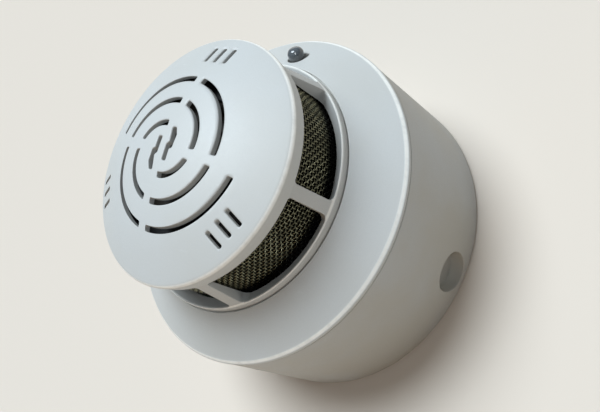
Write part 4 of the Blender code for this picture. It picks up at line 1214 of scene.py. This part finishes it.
def apply_finishes(colours):
    """Gives every fine piece and every fixed part the finish of its material slot, except the back box
    and the sounder, which get darker finishes as painted shade.
    """
    make_effects()
    made = make_finishes(colours)
    slot_of = {part["node"]: part["material_slot"] for part in frame["record"]["subparts"]}
    # Painted shade: the back box gets the shell plastic darkened and warmed, as the drum is lit less
    # than the head
    made["box plastic in painted shade"] = finish("box plastic in painted shade", tuple(c * 0.86 for c in colours.shell),
                                 (0.46, 0.44, 0.39), (0.46, 0.60), grain=2600.0, bump=0.22,
                                 dust=0.15, dust_colour=(0.40, 0.36, 0.29), scratches=0.25)
    # Painted shade: the sounder under the slots is near black, for the dark behind the grille
    made["lacquered sounder"] = finish("sounder painted dark as shade", (0.030, 0.026, 0.020),
                                       (0.045, 0.036, 0.024), (0.30, 0.45), bump=0.2,
                                       detail=speckled_sounder_shade)
    for name, node in frame["nodes"].items():
        # The sounder's plate and disc take the painted-shade finish
        sounder = name in ("piezo_plate", "piezo_ceramic")
        node.data.materials.clear()
        node.data.materials.append(made["lacquered sounder" if sounder else slot_of[name]])
    for piece in bpy.context.scene.objects:
        if piece.type == "MESH" and "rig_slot" in piece:
            piece.data.materials.clear()
            # The back box takes the darker painted-shade plastic
            piece.data.materials.append(
                made["box plastic in painted shade" if piece.name == "box_shell" else piece["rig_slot"]])


# ------------------------------------------------------------------ stage

def build_stage(stage):
    """A plain pale floor, a broad cool key, two weaker lights, a dim sky, and the camera."""
    half = stage.floor_size / 2
    floor = new_piece("floor", [(-half, -half, 0), (half, -half, 0), (half, half, 0),
                                (-half, half, 0)], [(0, 1, 2, 3)])
    paper = bpy.data.materials.new("pale floor")
    paper.use_nodes = True
    shader = paper.node_tree.nodes["Principled BSDF"]
    shader.inputs["Base Color"].default_value = FLOOR_COLOUR
    shader.inputs["Roughness"].default_value = 0.9
    shader.inputs["Specular IOR Level"].default_value = 0.1
    floor.data.materials.append(paper)

    world = bpy.data.worlds.new("studio")
    world.use_nodes = True
    backdrop = world.node_tree.nodes["Background"]
    backdrop.inputs["Color"].default_value = SKY_COLOUR
    backdrop.inputs["Strength"].default_value = SKY_STRENGTH
    bpy.context.scene.world = world

    for name, direction, share, angle, colour in LIGHTS:
        light = bpy.data.lights.new(name, "SUN")
        light.energy = share * stage.key_strength
        light.angle = math.radians(angle)
        light.color = colour
        lamp = bpy.data.objects.new(name, light)
        lamp.rotation_euler = Vector(direction).to_track_quat("Z", "Y").to_euler()
        bpy.context.scene.collection.objects.link(lamp)

    lens = bpy.data.cameras.new("camera")
    lens.lens = stage.lens_length
    lens.sensor_width = 36.0
    lens.clip_start = 0.01
    camera = bpy.data.objects.new("camera", lens)
    facing = Matrix((CAMERA_RIGHT, CAMERA_UP, CAMERA_BACK)).transposed().to_4x4()
    camera.matrix_world = Matrix.Translation(CAMERA_PLACE) @ facing
    bpy.context.scene.collection.objects.link(camera)
    bpy.context.scene.camera = camera
    bpy.context.scene.view_settings.view_transform = "Standard"


# ------------------------------------------------------------------ operators

class SIREN_OT_stage(bpy.types.Operator):
    """Makes the floor, the lights and the camera"""
    bl_idname = "siren.stage"
    bl_label = "Stage"

    def execute(self, context):
        build_stage(context.scene.siren_stage)
        return {"FINISHED"}


class SIREN_OT_back_box(bpy.types.Operator):
    """Makes the back box with its knock-out, wall slots and cable grommet"""
    bl_idname = "siren.back_box"
    bl_label = "Back box"

    def execute(self, context):
        build_back_box(context.scene.siren_sizes)
        build_grommet()
        return {"FINISHED"}


class SIREN_OT_shoulder(bpy.types.Operator):
    """Makes the sloping shoulder"""
    bl_idname = "siren.shoulder"
    bl_label = "Shoulder"

    def execute(self, context):
        build_shoulder(context.scene.siren_sizes)
        return {"FINISHED"}


class SIREN_OT_status_light(bpy.types.Operator):
    """Makes the status light"""
    bl_idname = "siren.status_light"
    bl_label = "Status light"

    def execute(self, context):
        build_status_light(context.scene.siren_sizes)
        return {"FINISHED"}


class SIREN_OT_grille_cap(bpy.types.Operator):
    """Makes the grille cap with its sound slots and side windows"""
    bl_idname = "siren.grille_cap"
    bl_label = "Grille cap"

    def execute(self, context):
        build_grille_cap(context.scene.siren_sizes)
        return {"FINISHED"}


class SIREN_OT_insect_guard(bpy.types.Operator):
    """Makes the woven insect guard"""
    bl_idname = "siren.insect_guard"
    bl_label = "Insect guard"

    def execute(self, context):
        build_insect_guard(context.scene.siren_sizes)
        return {"FINISHED"}


class SIREN_OT_finishes(bpy.types.Operator):
    """Gives every piece and every fixed part its finish"""
    bl_idname = "siren.finishes"
    bl_label = "Finishes"

    def execute(self, context):
        apply_finishes(context.scene.siren_colours)
        return {"FINISHED"}


STEPS = (SIREN_OT_stage, SIREN_OT_back_box, SIREN_OT_shoulder, SIREN_OT_status_light,
         SIREN_OT_grille_cap, SIREN_OT_insect_guard, SIREN_OT_finishes)
SETTINGS = (("siren_sizes", SirenSizes), ("siren_colours", SirenColours),
            ("siren_stage", SirenStage))


class SIREN_PT_panel(bpy.types.Panel):
    """Lists every step and every setting in the sidebar"""
    bl_label = "Smoke Alarm Siren"
    bl_idname = "SIREN_PT_panel"
    bl_space_type = "VIEW_3D"
    bl_region_type = "UI"
    bl_category = "Siren"

    def draw(self, context):
        for step in STEPS:
            self.layout.operator(step.bl_idname)
        for label, group in SETTINGS:
            box = self.layout.box()
            for name in group.__annotations__:
                box.prop(getattr(context.scene, label), name)


def register():
    for label, group in SETTINGS:
        bpy.utils.register_class(group)
        setattr(bpy.types.Scene, label, PointerProperty(type=group))
    for step in STEPS:
        bpy.utils.register_class(step)
    bpy.utils.register_class(SIREN_PT_panel)


def unregister():
    bpy.utils.unregister_class(SIREN_PT_panel)
    for step in reversed(STEPS):
        bpy.utils.unregister_class(step)
    for label, group in reversed(SETTINGS):
        delattr(bpy.types.Scene, label)
        bpy.utils.unregister_class(group)


def main():
    register()
    for step in STEPS:
        family, name = step.bl_idname.split(".")
        if getattr(getattr(bpy.ops, family), name)() != {"FINISHED"}:
            raise RuntimeError(f"{step.bl_label} didn't finish")


if __name__ == "__main__":
    main()
